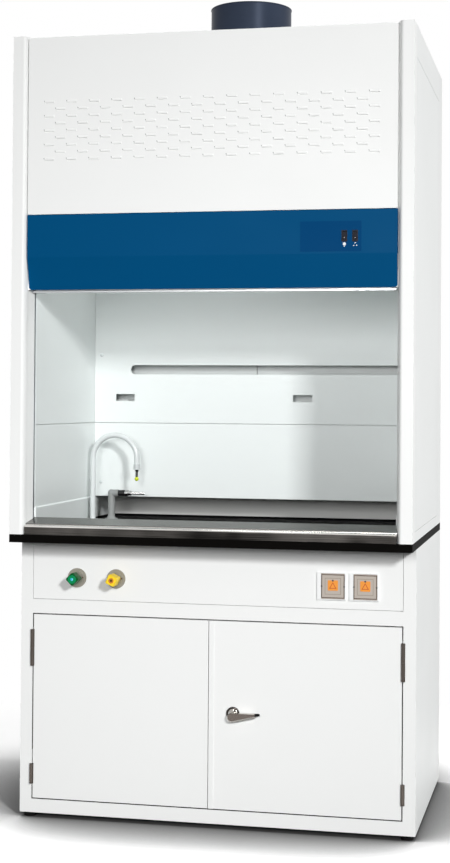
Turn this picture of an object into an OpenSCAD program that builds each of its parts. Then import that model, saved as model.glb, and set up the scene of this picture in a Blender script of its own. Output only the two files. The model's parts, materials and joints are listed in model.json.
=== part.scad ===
/* [Overall] */
// width of the hood, the worktop and the cabinet
body_w = 1200; // [1100:10:1500]
// depth from the front edge of the worktop to the back
body_d = 880; // [850:5:1000]
// height of the work surface above the floor
work_h = 864; // [840:2:920]
// height of the hood above the work surface
hood_h = 1486; // [1450:2:1600]
// thickness of sheet metal panels
sheet = 2; // [1.5:0.5:2.5]
// visible seam beside a removable panel
seam = 2.5; // [1.5:0.5:3]
// hairline between parts that only touch loosely
fit = 0.5; // [0.3:0.1:0.8]
// clearance round a shaft in its bore
shaft_fit = 0.05; // [0.02:0.01:0.1]

/* [Worktop] */
// thickness of the worktop
worktop_t = 24; // [20:1:30]
// height of the spill rim on the worktop
rim_h = 6; // [4:1:10]
// width of the spill rim
rim_w = 12; // [8:1:16]
// distance from the front edge to the front of the rim
rim_set = 84; // [82:1:95]
// distance of the cup sink from the left side
sink_in = 240; // [230:1:260]
// distance of the cup sink from the back
sink_rear = 310; // [300:1:320]
// inner radius of the cup sink
sink_r = 62; // [50:1:66]
// depth of the cup sink
sink_depth = 110; // [90:1:130]
// wall of the cup sink
sink_wall = 3; // [2:0.5:4]
// width of the flange round the cup sink
sink_flange = 12; // [8:1:14]
// height of the flange above the worktop
sink_lip = 3; // [2:0.5:5]
// outer radius of the drain tail
tail_r = 20; // [16:1:24]
// length of the drain tail below the bowl
tail_len = 60; // [40:1:80]

/* [Sill] */
// height of the sill above the work surface
sill_h = 47; // [44:1:50]
// depth of the sill from front to rear fold
sill_d = 72; // [66:1:75]
// height of the front roll of the sill
roll_h = 28; // [24:1:30]
// radius of the front roll
roll_r = 8; // [5:1:10]
// distance from the front edge to the sill
sill_set = 3; // [1:0.5:5]
// height of the crease behind the roll
crease_h = 4; // [2:0.5:6]
// distance from the roll to the crease
crease_set = 5; // [3:0.5:8]
// height of the fold at the rear of the sill
sill_fold = 7; // [5:0.5:10]

/* [Front posts] */
// width of a front post
post_w = 45; // [40:1:50]
// depth of a front post
post_d = 61; // [55:1:65]
// width of the rounded nose of a post
nose_w = 13; // [8:1:16]
// depth of the rounded nose of a post
nose_d = 26; // [20:1:30]
// distance from the outer side to the chamber liner
liner_in = 52; // [50:1:56]
// wall of a front post
post_wall = 2.5; // [2:0.5:3]
// thickness of the cap on a post
cap_t = 4; // [3:0.5:6]
// reach of the lip that carries the front panels
lip_w = 10; // [6:1:12]

/* [Front panels] */
// setback of the front panels behind the posts
panel_set = 3.5; // [3.5:0.5:5]
// depth of the folded edges of the front panels
return_d = 18; // [14:1:20]
// gap between the louvred panel and the fascia
fascia_gap = 1.6; // [1:0.2:2]
// top of the fascia above the work surface
fascia_top = 951; // [940:1:960]
// bend line of the fascia above the work surface
fascia_bend = 825; // [815:1:840]
// lower edge of the fascia above the work surface
fascia_low = 729; // [724:1:740]
// how far the lower edge of the fascia leans back
fascia_lean = 18; // [12:1:20]
// depth of the lip under the fascia
fascia_lip = 8; // [5:1:10]
// how much each end of the fascia narrows to its lower edge
fascia_taper = 11; // [6:1:14]
// corner radius at the lower edge of the fascia
fascia_r = 8; // [4:1:12]
// number of louvres in a long row
louvre_n = 15; // [13:2:15]
// number of louvre rows
louvre_rows = 9; // [5:2:11]
// spacing of the louvres along a row
louvre_px = 69.5; // [66:0.5:74]
// spacing of the louvre rows
louvre_pz = 21.4; // [20:0.2:24]
// length of a louvre
louvre_l = 29; // [24:1:32]
// height of the middle louvre row above the work surface
louvre_z = 1202; // [1180:2:1220]
// radius of the raised louvre
louvre_r = 5; // [4:0.5:6]
// how far a louvre stands out
louvre_out = 1.8; // [1:0.2:2.5]
// height of the slot under a louvre
louvre_slot = 2.6; // [2:0.2:3]

/* [Controls] */
// width of the control overlay
overlay_w = 177; // [160:1:190]
// height of the control overlay
overlay_h = 87; // [80:1:92]
// thickness of the control overlay
overlay_t = 0.5; // [0.3:0.1:0.6]
// distance from the right side to the overlay
overlay_in = 150; // [130:1:180]
// gap between the top of the fascia and the overlay
overlay_drop = 33; // [26:1:34]
// width of a switch bezel
switch_w = 16.5; // [15:0.5:18]
// height of a switch bezel
switch_h = 33; // [31:0.5:35]
// thickness of a switch bezel
switch_t = 1.2; // [0.8:0.1:1.3]
// spacing of the two switches
switch_px = 31; // [28:0.5:36]
// distance from the overlay edge to the nearer switch
switch_in = 18; // [14:0.5:24]
// distance from the overlay top to the switch centre
switch_drop = 43; // [40:1:45]
// radius of a rocker about its pivot
rocker_r = 13; // [12:0.1:13.5]
// width of a rocker
rocker_w = 11.4; // [10:0.2:12]
// depth of the pivot behind the bezel face
rocker_pivot = 3; // [3:0.1:4]
// distance from the pivot to the rocker face
rocker_face = 3.4; // [3:0.1:3.4]
// radius of the pivot pin of a rocker
pivot_r = 1.2; // [1:0.1:1.4]
// tilt of a rocker at rest
rocker_tilt = 6; // [4:1:6]
// depth of a switch body behind the bezel
switch_d = 26; // [24:1:30]

/* [Sash] */
// distance from the front edge to the middle of the glass
sash_y = 70; // [69:0.5:71]
// thickness of the sash glass
glass_t = 5; // [4:0.5:6]
// lower edge of the raised sash above the work surface
sash_low = 722; // [718:1:726]
// height of the sash
sash_h = 703; // [690:1:705]
// height of the sash handle
handle_h = 26; // [22:1:32]
// depth of the sash handle
handle_d = 34; // [28:1:35]
// height of the rail on top of the sash
rail_h = 20; // [16:1:26]
// distance from the outer side to the edge of the glass
glass_in = 35; // [33:1:37]
// depth of a sash track from front to back
track_d = 18; // [17:0.5:19]
// gap between the sash and what it passes
sash_gap = 3; // [2:0.5:4]
// wall of a sash track
track_wall = 1.6; // [1.2:0.2:2]
// thickness of the lips beside the glass
track_lip = 2.6; // [2:0.2:3]
// distance from the outer side to the back of a track
track_in = 8; // [6:1:9]
// outer radius of a balance tube
tube_r = 7; // [6.6:0.1:7.2]
// wall of a balance tube
tube_wall = 1.5; // [1:0.25:2]
// radius of a balance rod
rod_r = 4; // [3:0.25:4.5]
// height of a sash shoe
shoe_h = 22; // [18:1:26]
// width of a sash shoe
shoe_w = 33; // [30:1:34]
// depth of a sash shoe
shoe_d = 12; // [10:0.5:13]

/* [Hood sides and back] */
// thickness of a side sheet with its inner lip
side_t = 4; // [3.5:0.5:5]
// distance from the front edge to the access panel
access_set = 66; // [64:1:75]
// distance from the back to the access panel
access_rear = 104; // [90:1:120]
// height of the access panel above the work surface
access_low = 30; // [20:1:40]
// distance from the hood top to the access panel
access_drop = 93; // [80:1:100]
// width of the lip behind the access panel
access_lip = 14; // [10:1:18]
// seam round the access panel
access_seam = 1.6; // [1:0.2:2]
// thickness of the back sheet
back_t = 4; // [3:0.5:6]
// thickness of the roof
roof_t = 6; // [4:0.5:8]
// distance from the front edge to the roof
roof_set = 22; // [20:1:24]

/* [Duct collar] */
// outer radius of the duct collar
collar_r = 131; // [125:1:135]
// wall of the duct collar
collar_wall = 2.5; // [2:0.5:4]
// height of the duct collar above the roof
collar_h = 196; // [150:1:200]
// distance from the back to the collar centre
collar_rear = 270; // [260:1:280]
// width of the collar flange
collar_flange = 24; // [15:1:30]
// thickness of the collar flange
collar_ft = 3; // [2:0.5:4]

/* [Chamber] */
// thickness of the liner boards
liner_t = 5; // [4:0.5:6]
// height of the seam across the liners and the baffle
seam_z = 325; // [300:1:350]
// gap at that seam
liner_seam = 1.4; // [1:0.2:2]
// height of the skirt at the foot of the side liners
skirt_h = 78; // [70:1:84]
// how far the skirt stands proud
skirt_out = 4; // [2:0.5:6]
// distance from the back to the baffle face
baffle_rear = 196; // [190:1:210]
// lower edge of the baffle above the work surface
baffle_low = 78; // [70:1:84]
// height where the baffle folds forward
fold_z = 1130; // [1100:5:1160]
// height of the front edge of the folded baffle
fold_top = 1290; // [1270:5:1300]
// distance from the back to the front of the fold
fold_rear = 400; // [390:1:405]
// distance from the left side to the long slot
slot_in = 178; // [170:1:190]
// distance from the right side to the end of the long slot
slot_out = 110; // [102:1:142]
// height of the long slot centre above the work surface
slot_z = 504; // [495:1:510]
// width of the long slot
slot_w = 31; // [26:1:34]
// length of the short windows
window_l = 65; // [55:1:70]
// width of the short windows
window_w = 24; // [20:1:28]
// height of the short windows above the work surface
window_z = 410; // [400:1:416]
// distance from the left side to the first window
window_in = 127; // [120:1:135]
// spacing of the short windows
window_px = 606; // [590:1:620]
// radius of a baffle spacer
spacer_r = 8; // [6:0.5:10]
// distance from the liner to a baffle spacer
spacer_in = 24; // [20:1:30]
// height of the upper row of spacers
spacer_hi = 553; // [540:1:570]
// height of the lower row of spacers
spacer_lo = 125; // [115:1:135]
// height of the ceiling above the work surface
ceiling_z = 1320; // [1310:2:1340]
// distance from the front edge to the ceiling
ceiling_set = 82; // [80:1:90]
// distance from the back to the exhaust wall
exhaust_rear = 425; // [420:1:435]
// length of the lamp window
lamp_l = 580; // [500:5:640]
// width of the lamp window
lamp_w = 100; // [80:1:120]
// distance from the front edge to the lamp window
lamp_y = 180; // [160:1:200]
// height of the lamp housing
lamp_h = 70; // [60:1:90]
// rest of the lamp glass on the ceiling
lamp_rest = 8; // [6:1:12]
// radius of the lamp tube
lamp_r = 13; // [8:1:15]

/* [Taps] */
// distance from the left side to the water tap
tap_in = 79; // [76:1:90]
// distance from the back to the water tap
tap_rear = 295; // [290:1:305]
// radius of the swan neck pipe
neck_r = 9; // [8:0.5:10]
// bend radius of the swan neck
neck_bend = 75; // [70:1:78]
// height of the bend centre above the work surface
neck_z = 210; // [200:1:220]
// length of the straight end before the nozzle
neck_end = 20; // [16:1:26]
// radius of the nozzle collar
nozzle_r = 11; // [10:0.5:12]
// height of the nozzle collar
nozzle_h = 18; // [14:1:22]
// radius of the hose barbs
barb_r = 5.5; // [4.5:0.5:6.5]
// length of one hose barb
barb_l = 6.5; // [5:0.5:8]
// number of barbs on the tap
tap_barbs = 3; // [2:1:4]
// number of barbs on the gas nozzle
gas_barbs = 7; // [5:1:8]
// radius of the bead at the spout tip
bead_r = 7; // [5:0.5:8]
// radius of a tap base
base_r = 17; // [15:0.5:18]
// height of a tap base
base_h = 8; // [6:0.5:10]
// radius of a tap shank in the worktop
shank_r = 12; // [11:0.5:13]
// length of a shank below the worktop
shank_l = 20; // [16:1:26]
// distance from the left side to the gas outlet
gas_in = 132; // [130:1:136]
// distance from the back to the gas outlet
gas_rear = 258; // [250:1:265]
// radius of the foot of the gas outlet
gas_foot = 21; // [19:0.5:22]
// radius of the gas pedestal
gas_r = 11.5; // [10:0.5:12]
// height of the gas outlet axis above the work surface
gas_z = 92; // [84:1:98]
// radius of the gas outlet head
gas_head = 12; // [11.5:0.5:13]
// length of one nut on the gas outlet
nut_l = 10.5; // [8:0.5:12]
// steps in radius along the gas nozzle
nut_step = 2; // [1:0.5:2.5]

/* [Cabinet] */
// distance from the worktop front to the cabinet front
base_recess = 115; // [105:1:125]
// height of the levelling feet
foot_h = 14; // [10:1:20]
// radius of a levelling foot
foot_r = 19; // [15:0.5:22]
// distance of a foot from the cabinet corner
foot_in = 26; // [24:1:40]
// thickness of the cabinet boards
board = 18; // [16:1:20]
// depth of the front frame
frame_d = 20; // [20:0.5:22]
// width of the upright frame members
stile_w = 37; // [34:1:42]
// height of the service strip
strip_h = 180; // [176:1:190]
// height of the rail under the service strip
rail_t = 43; // [38:1:46]
// height of the rail under the doors
plinth_h = 41; // [36:1:46]
// gap round a door
door_gap = 3.5; // [3:0.5:4]
// gap where the two doors meet
meet_gap = 2.5; // [2:0.5:3]
// thickness of a door
door_t = 20; // [18:0.5:20]
// how far left of the middle the doors meet
split_off = 14; // [10:1:18]
// width of the raised strip on the free edge of the right door
astragal_w = 15; // [12:1:20]
// thickness of that raised strip
astragal_t = 1.5; // [1:0.25:2]
// width of the fold round the back of a door
door_fold = 15; // [10:1:20]
// height of the shelf top above the floor
shelf_z = 300; // [280:2:320]
// distance from the cabinet front to the shelf
shelf_set = 60; // [50:1:80]

/* [Hinges] */
// radius of a hinge barrel
barrel_r = 6; // [5:0.25:6.5]
// length of one hinge barrel
barrel_l = 54.4; // [50:0.2:58]
// gap between two barrels
barrel_gap = 0.6; // [0.4:0.1:1]
// radius of a hinge pin
pin_r = 3; // [2.5:0.1:3.5]
// distance from the outer side to the hinge axis
hinge_in = 37; // [36:0.5:38]
// how far the hinge axis stands behind the cabinet front
hinge_y = -3; // [-4:0.5:-2]
// distance from the top of the door opening to the upper hinge split
hinge_drop = 104; // [92:1:117]
// height of the lower hinge barrel centre above the floor
hinge_lo = 132; // [125:1:140]
// thickness of a hinge leaf
leaf_t = 1.5; // [1:0.25:2]
// depth of a hinge leaf
leaf_d = 20; // [16:0.5:20]
// height of the end discs of the lower hinge
disc_h = 2; // [1.5:0.5:3]

/* [Latch] */
// distance from the meeting edge to the latch
latch_in = 66; // [60:1:72]
// height of the latch above the floor
latch_z = 341; // [330:1:350]
// radius of the latch rosette
rose_r = 16.5; // [15:0.5:18]
// thickness of the latch rosette
rose_t = 6; // [4:0.5:8]
// radius of the latch spindle
spindle_r = 5; // [4:0.25:6]
// radius of the lever hub
hub_r = 12; // [10:0.5:13]
// thickness of the lever hub
hub_t = 14; // [10:0.5:16]
// length of the lever from the spindle to its tip
lever_l = 86; // [80:1:92]
// height of the lever at its hub
lever_w = 22; // [16:1:24]
// height of the lever at its tip
lever_tip = 7; // [4:0.5:10]
// thickness of the lever
lever_t = 9; // [7:0.5:10]
// length of the cam
cam_l = 30; // [24:1:34]
// width of the cam
cam_w = 16; // [12:0.5:18]
// thickness of the cam
cam_t = 4; // [3:0.5:5]
// distance from the back of the door to the cam
cam_gap = 5; // [4:0.5:8]

/* [Valves] */
// distance from the left side to the water valve
valve_in = 177; // [170:1:190]
// spacing of the two valves
valve_px = 122; // [115:1:130]
// height of the valves below the work surface
valve_drop = 136; // [130:1:140]
// radius of a valve rosette
vrose_r = 29; // [26:0.5:31]
// thickness of a valve rosette
vrose_t = 7; // [5:0.5:9]
// radius of the water knob
knob_r = 18; // [16:0.5:20]
// radius of the lobes of the gas knob
gas_knob = 19; // [17:0.5:21]
// depth of a valve knob
knob_d = 38; // [34:1:42]
// gap between a knob and its rosette
knob_gap = 10; // [8:1:14]
// radius of a valve stem
stem_r = 5; // [4:0.25:6]
// depth of the grip flutes
flute_r = 4; // [3:0.5:5]
// radius of a valve body
vbody_r = 14; // [12:0.5:16]
// length of a valve body
vbody_l = 45; // [40:1:55]
// radius of a supply pipe
pipe_r = 5; // [4:0.5:7]
// distance from the back to the run of the water pipe
pipe_rear1 = 530; // [520:1:545]
// distance from the back to the run of the gas pipe
pipe_rear2 = 480; // [470:1:490]
// length of a supply stub below its valve
stub_l = 80; // [60:5:100]

/* [Sockets] */
// distance from the right side to the outer socket box
socket_in = 110; // [104:1:120]
// spacing of the two socket boxes
socket_px = 95; // [92:1:100]
// width of a socket box
socket_w = 84; // [82:1:86]
// height of a socket box
socket_h = 80; // [78:1:84]
// middle of the sockets below the work surface
socket_drop = 137; // [132:1:140]
// depth of a socket box behind the strip
socket_d = 48; // [40:1:60]
// width of the box flange
flange_w = 4; // [3:0.5:5]
// thickness of the box flange
flange_t = 6; // [5.5:0.5:8]
// offset of the lid in its box
lid_off = 4.5; // [3:0.5:4.5]
// width of a socket lid
lid_w = 69; // [66:1:69]
// height of a socket lid
lid_h = 74; // [70:1:75]
// thickness of a socket lid
lid_t = 5; // [4:0.5:5]
// radius of the lid hinge pin
lid_pin = 1.5; // [1.2:0.1:1.8]
// wall of a socket box
box_wall = 2.5; // [2:0.5:3]
// depth of the insert behind the lid
insert_set = 10; // [9:0.5:14]
// thickness of an insert
insert_t = 8; // [6:0.5:10]
// radius of a contact hole
contact_r = 2.5; // [2:0.25:3]
// half spacing of the contact holes
contact_in = 9.5; // [9:0.5:11]

/* [Hidden] */
eps = 0.01;
fine = 48;
coarse = 32;
hw = body_w / 2;
yf = -body_d / 2;
yr = body_d / 2;
zw = work_h;
zt = work_h + hood_h;
zu = work_h - worktop_t;
yc = yf + base_recess;
front_hw = hw - post_w - seam;
liner_hw = hw - liner_in;
panel_y = yf + panel_set;
roof_z = zt - roof_t;
split_x = -split_off;
axis_y = yc + hinge_y;
strip_z = zu - strip_h;
rail_z = strip_z - rail_t;
door_z0 = foot_h + plinth_h;
side_y0 = yf + post_d;
track_y0 = yf + post_d;
track_y1 = track_y0 + track_d;
overlay_x1 = hw - overlay_in;
overlay_z1 = zw + fascia_top - overlay_drop;
switch_x1 = overlay_x1 - switch_in;
switch_x0 = switch_x1 - switch_px;
switch_z = overlay_z1 - switch_drop;
valve_x0 = -hw + valve_in;
valve_x1 = valve_x0 + valve_px;
valve_z = zw - valve_drop;
tap_x = -hw + tap_in;
gas_x = -hw + gas_in;
sink_x = -hw + sink_in;
sink_y = body_d - sink_rear;
tap_y = body_d - tap_rear;
gas_y = body_d - gas_rear;
collar_y = body_d - collar_rear;
baffle_y = body_d - baffle_rear;
fold_y = body_d - fold_rear;
exhaust_y = body_d - exhaust_rear;
pipe_y1 = body_d - base_recess - pipe_rear1;
pipe_y2 = body_d - base_recess - pipe_rear2;
slot_l = body_w - slot_in - slot_out;
hinge_hi = rail_z - hinge_drop;

// a box between two corners
module span(a, b) {
    translate(a)
    cube([b[0] - a[0], b[1] - a[1], b[2] - a[2]]);
}

// a profile drawn as (y, z) and drawn out along x
module along_x(x0, x1) {
    translate([x0, 0, 0])
    rotate([90, 0, 90])
    linear_extrude(height = x1 - x0)
    children();
}

// a profile drawn as (x, z) and drawn out along y
module along_y(y0, y1) {
    translate([0, y1, 0])
    rotate([90, 0, 0])
    linear_extrude(height = y1 - y0)
    children();
}

// a round bar along x
module bar_x(x0, x1, y, z, r) {
    translate([x0, y, z])
    rotate([0, 90, 0])
    cylinder(h = x1 - x0, r = r, $fn = fine);
}

// a round bar along y
module bar_y(x, y0, y1, z, r) {
    translate([x, y1, z])
    rotate([90, 0, 0])
    cylinder(h = y1 - y0, r = r, $fn = fine);
}

// a round bar along z
module bar_z(x, y, z0, z1, r) {
    translate([x, y, z0])
    cylinder(h = z1 - z0, r = r, $fn = fine);
}

// the same thing on the right and, mirrored, on the left
module pair() {
    children();
    mirror([1, 0, 0])
    children();
}

// Base cabinet
module carcass() {
    y0 = yc + frame_d;
    color([0.93, 0.94, 0.94])
    union() {
        pair()
        span([hw - board, y0, foot_h], [hw, yr, zu]);
        span([-hw + eps, y0, foot_h], [hw - eps, yr - board, foot_h + board]);
    }
}

module cab_back() {
    color([0.9, 0.91, 0.91])
    span([-hw + board, yr - board, foot_h], [hw - board, yr, zu]);
}

module cab_frame() {
    y1 = yc + frame_d;
    lip_y = yc + return_d;
    inner = hw - stile_w;
    color([0.95, 0.95, 0.95])
    difference() {
        span([-hw, yc, foot_h], [hw, y1, zu]);
        span([-inner, yc - eps, door_z0], [inner, y1 + eps, rail_z]);
        span([-inner, yc - eps, strip_z], [inner, lip_y, zu + eps]);
        span([-inner + lip_w, lip_y - eps, strip_z + lip_w], [inner - lip_w, y1 + eps, zu + eps]);
        pair()
        barrel_room();
    }
}

// round room for the hinge barrels, drawn on the right
module barrel_room() {
    reach = barrel_l + barrel_gap + fit;
    bar_z(hw - hinge_in, axis_y, hinge_hi - reach, hinge_hi + reach, barrel_r + fit);
    half = barrel_l / 2 + barrel_gap + disc_h + fit;
    bar_z(hw - hinge_in, axis_y, hinge_lo - half, hinge_lo + half, barrel_r + fit);
}

module cab_shelf() {
    edge = hw - board - fit;
    color([0.9, 0.91, 0.91])
    span([-edge, yc + shelf_set, shelf_z - board], [edge, yr - board - fit, shelf_z]);
}

module service_strip() {
    x1 = hw - stile_w - seam / 2;
    z0 = strip_z + seam / 2;
    z1 = zu - fit;
    y1 = yc + return_d;
    color([0.96, 0.96, 0.96])
    difference() {
        span([-x1, yc, z0], [x1, y1, z1]);
        span([-x1 + sheet, yc + sheet, z0 + sheet], [x1 - sheet, y1 + eps, z1 - sheet]);
        for (x = [valve_x0, valve_x1])
            bar_y(x, yc - eps, yc + sheet + eps, valve_z, stem_r + fit);
        for (i = [0, 1])
            span([socket_x(i) - socket_w / 2 + flange_w, yc - eps, socket_z() - socket_h / 2 + flange_w],
                 [socket_x(i) + socket_w / 2 - flange_w, yc + sheet + eps, socket_z() + socket_h / 2 - flange_w]);
    }
}

module feet() {
    stem_rr = foot_r / 3;
    y0 = yc + foot_in;
    y1 = yr - foot_in;
    pad = foot_h / 2;
    color([0.06, 0.06, 0.06])
    for (x = [-hw + foot_in, hw - foot_in])
        for (y = [y0, y1])
            union() {
                bar_z(x, y, 0, pad, foot_r);
                bar_z(x, y, pad - eps, foot_h, stem_rr);
            }
}

// Doors and hinges
module door_pan(x0, x1) {
    z0 = door_z0 + door_gap;
    z1 = rail_z - door_gap;
    difference() {
        span([x0, yc, z0], [x1, yc + door_t, z1]);
        span([x0 + sheet, yc + sheet, z0 + sheet], [x1 - sheet, yc + door_t - sheet, z1 - sheet]);
        span([x0 + door_fold, yc + sheet, z0 + door_fold], [x1 - door_fold, yc + door_t + eps, z1 - door_fold]);
    }
}

module door_l() {
    color([0.96, 0.96, 0.96])
    difference() {
        door_pan(-hw + stile_w + door_gap, split_x - meet_gap / 2);
        mirror([1, 0, 0])
        hinge_room();
    }
}

module door_r() {
    x0 = split_x + meet_gap / 2;
    z0 = door_z0 + door_gap;
    z1 = rail_z - door_gap;
    lx = x0 + latch_in;
    color([0.96, 0.96, 0.96])
    difference() {
        union() {
            door_pan(x0, hw - stile_w - door_gap);
            span([x0, yc - astragal_t, z0], [x0 + astragal_w, yc + eps, z1]);
            bar_y(lx, yc + eps, yc + door_t, latch_z, rose_r);
        }
        bar_y(lx, yc - rose_t, yc + door_t + eps, latch_z, spindle_r + shaft_fit);
        hinge_room();
    }
}

// room in a door edge for the barrels and the leaves, drawn on the right
module hinge_room() {
    x0 = hw - stile_w - door_gap;
    barrel_room();
    for (z = [hinge_hi, hinge_lo - barrel_l / 2])
        span([x0 - leaf_t, yc - eps, z - fit], [x0 + eps, yc + leaf_d, z + barrel_l + barrel_gap + fit]);
}

// door half of the hinges, drawn on the right
module hinge_door() {
    ax = hw - hinge_in;
    x0 = hw - stile_w - door_gap;
    z1 = hinge_hi + barrel_gap / 2;
    z2 = hinge_lo - barrel_l / 2;
    for (z = [z1, z2])
        difference() {
            union() {
                bar_z(ax, axis_y, z, z + barrel_l, barrel_r);
                span([x0 - leaf_t, yc, z], [x0, yc + leaf_d - leaf_t, z + barrel_l]);
                span([x0 - leaf_t, axis_y, z], [ax, yc + leaf_t, z + barrel_l]);
            }
            bar_z(ax, axis_y, z - eps, z + barrel_l + eps, pin_r + shaft_fit);
        }
}

module hinge_door_r() {
    color([0.42, 0.43, 0.43])
    hinge_door();
}

module hinge_door_l() {
    color([0.42, 0.43, 0.43])
    mirror([1, 0, 0])
    hinge_door();
}

// frame half of the hinges with their pins, drawn on the right
module hinge_fixed() {
    ax = hw - hinge_in;
    inner = hw - stile_w;
    z0 = hinge_hi - barrel_gap / 2;
    z2 = hinge_lo - barrel_l / 2 - barrel_gap;
    z3 = hinge_lo + barrel_l / 2 + barrel_gap;
    union() {
        bar_z(ax, axis_y, z0 - barrel_l, z0, barrel_r);
        bar_z(ax, axis_y, z0 - eps, hinge_hi + barrel_l, pin_r);
        span([inner - leaf_t, axis_y, z0 - barrel_l], [inner, yc + frame_d, z0]);
    }
    union() {
        bar_z(ax, axis_y, z2 - disc_h, z2, barrel_r);
        bar_z(ax, axis_y, z2 - eps, z3 + eps, pin_r);
        bar_z(ax, axis_y, z3, z3 + disc_h, barrel_r);
        span([inner - leaf_t, axis_y, z2 - disc_h], [inner, yc + frame_d, z2]);
        span([inner - leaf_t, axis_y, z3], [inner, yc + frame_d, z3 + disc_h]);
    }
}

module hinge_frame() {
    color([0.4, 0.41, 0.41])
    pair()
    hinge_fixed();
}

// Latch
function latch_x() = split_x + meet_gap / 2 + latch_in;

module latch_rose() {
    color([0.75, 0.75, 0.76])
    difference() {
        bar_y(latch_x(), yc - rose_t, yc, latch_z, rose_r);
        bar_y(latch_x(), yc - rose_t - eps, yc + eps, latch_z, spindle_r + shaft_fit);
    }
}

module latch_lever() {
    y1 = yc - rose_t - fit;
    y0 = y1 - hub_t;
    color([0.78, 0.78, 0.8])
    union() {
        bar_y(latch_x(), y0, y1, latch_z, hub_r);
        intersection() {
            along_y(y0, y0 + lever_t)
            polygon([[latch_x(), latch_z + lever_tip / 3], [latch_x() + lever_l, latch_z + lever_tip / 3],
                [latch_x() + lever_l, latch_z - lever_tip * 2 / 3],
                [latch_x() + lever_l / 2, latch_z - lever_w / 2],
                [latch_x(), latch_z - lever_w / 2]]);
            bar_y(latch_x(), y0 - eps, y1, latch_z, lever_l);
        }
    }
}

module latch_cam() {
    y0 = yc + door_t + cam_gap;
    color([0.7, 0.7, 0.72])
    union() {
        bar_y(latch_x(), yc - rose_t - fit, y0 + cam_t, latch_z, spindle_r);
        span([latch_x(), y0, latch_z - cam_w / 2], [latch_x() + cam_l, y0 + cam_t, latch_z + cam_w / 2]);
        bar_y(latch_x(), y0, y0 + cam_t, latch_z, cam_w / 2);
    }
}

// Valves
module valve_roses() {
    step_r = vrose_r * 3 / 4;
    color([0.55, 0.56, 0.57])
    for (x = [valve_x0, valve_x1])
        difference() {
            union() {
                bar_y(x, yc - vrose_t / 2, yc, valve_z, vrose_r);
                bar_y(x, yc - vrose_t, yc, valve_z, step_r);
            }
            bar_y(x, yc - vrose_t - eps, yc + eps, valve_z, stem_r + shaft_fit);
        }
}

// a stem, shared by both knobs
module knob_stem(x) {
    bar_y(x, yc - vrose_t - knob_gap - eps, yc + sheet + fit, valve_z, stem_r);
}

module knob_water() {
    y1 = yc - vrose_t - knob_gap;
    y0 = y1 - knob_d;
    nose_r = knob_r * 7 / 8;
    color([0.0, 0.55, 0.3])
    union() {
        knob_stem(valve_x0);
        difference() {
            union() {
                bar_y(valve_x0, y0 + knob_d / 3, y1, valve_z, knob_r);
                bar_y(valve_x0, y0, y0 + knob_d / 2, valve_z, nose_r);
            }
            for (a = [0 : 45 : 315])
                translate([valve_x0, 0, valve_z])
                rotate([0, a, 0])
                bar_y(knob_r + flute_r / 2, y0 - eps, y1 + eps, 0, flute_r);
        }
    }
}

module knob_gas() {
    y1 = yc - vrose_t - knob_gap;
    y0 = y1 - knob_d;
    ym = y1 - knob_d / 4;
    half = gas_knob * 2 / 3;
    color([0.98, 0.8, 0.05])
    union() {
        knob_stem(valve_x1);
        bar_y(valve_x1, y0 + knob_d / 4, y1, valve_z, half);
        span([valve_x1 - half, y0, valve_z - half], [valve_x1 + half, ym, valve_z + half]);
        for (a = [45 : 90 : 315])
            translate([valve_x1, 0, valve_z])
            rotate([0, a, 0])
            bar_y(gas_knob - flute_r / 2, y0 + eps, ym, 0, flute_r * 3 / 2);
    }
}

// the body of a valve, its supply stub and nut
module valve_body(x) {
    y0 = yc + sheet;
    y1 = y0 + vbody_l;
    ys = y1 - vbody_r;
    zs = valve_z - vbody_r - stub_l;
    nut_r = pipe_r * 3 / 2;
    difference() {
        bar_y(x, y0, y1, valve_z, vbody_r);
        bar_y(x, y0 - eps, y0 + sheet, valve_z, stem_r + fit);
    }
    bar_z(x, ys, zs, valve_z, pipe_r);
    bar_z(x, ys, zs, zs + pipe_r * 2, nut_r);
}

// a pipe from a valve to a tap: back, across, back, up
module pipe_run(x0, yt, x1, y1) {
    y0 = yc + sheet + vbody_l;
    top = zu - shank_l;
    bar_y(x0, y0 - eps, yt, valve_z, pipe_r);
    translate([x0, yt, valve_z])
    sphere(r = pipe_r, $fn = fine);
    bar_x(x1, x0, yt, valve_z, pipe_r);
    translate([x1, yt, valve_z])
    sphere(r = pipe_r, $fn = fine);
    bar_y(x1, yt, y1, valve_z, pipe_r);
    translate([x1, y1, valve_z])
    sphere(r = pipe_r, $fn = fine);
    bar_z(x1, y1, valve_z, top, pipe_r);
}

module pipe_water() {
    color([0.72, 0.45, 0.25])
    union() {
        valve_body(valve_x0);
        pipe_run(valve_x0, yc + pipe_y1, tap_x, yf + tap_y);
    }
}

module pipe_gas() {
    color([0.72, 0.45, 0.25])
    union() {
        valve_body(valve_x1);
        pipe_run(valve_x1, yc + pipe_y2, gas_x, yf + gas_y);
    }
}

// Sockets
function socket_x(i) = hw - socket_in - socket_w / 2 - i * socket_px;
function socket_z() = zw - socket_drop;

// half width and half height of the hollow in a box
function hollow_w() = socket_w / 2 - flange_w - fit - box_wall;
function hollow_h() = socket_h / 2 - flange_w - fit - box_wall;

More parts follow.
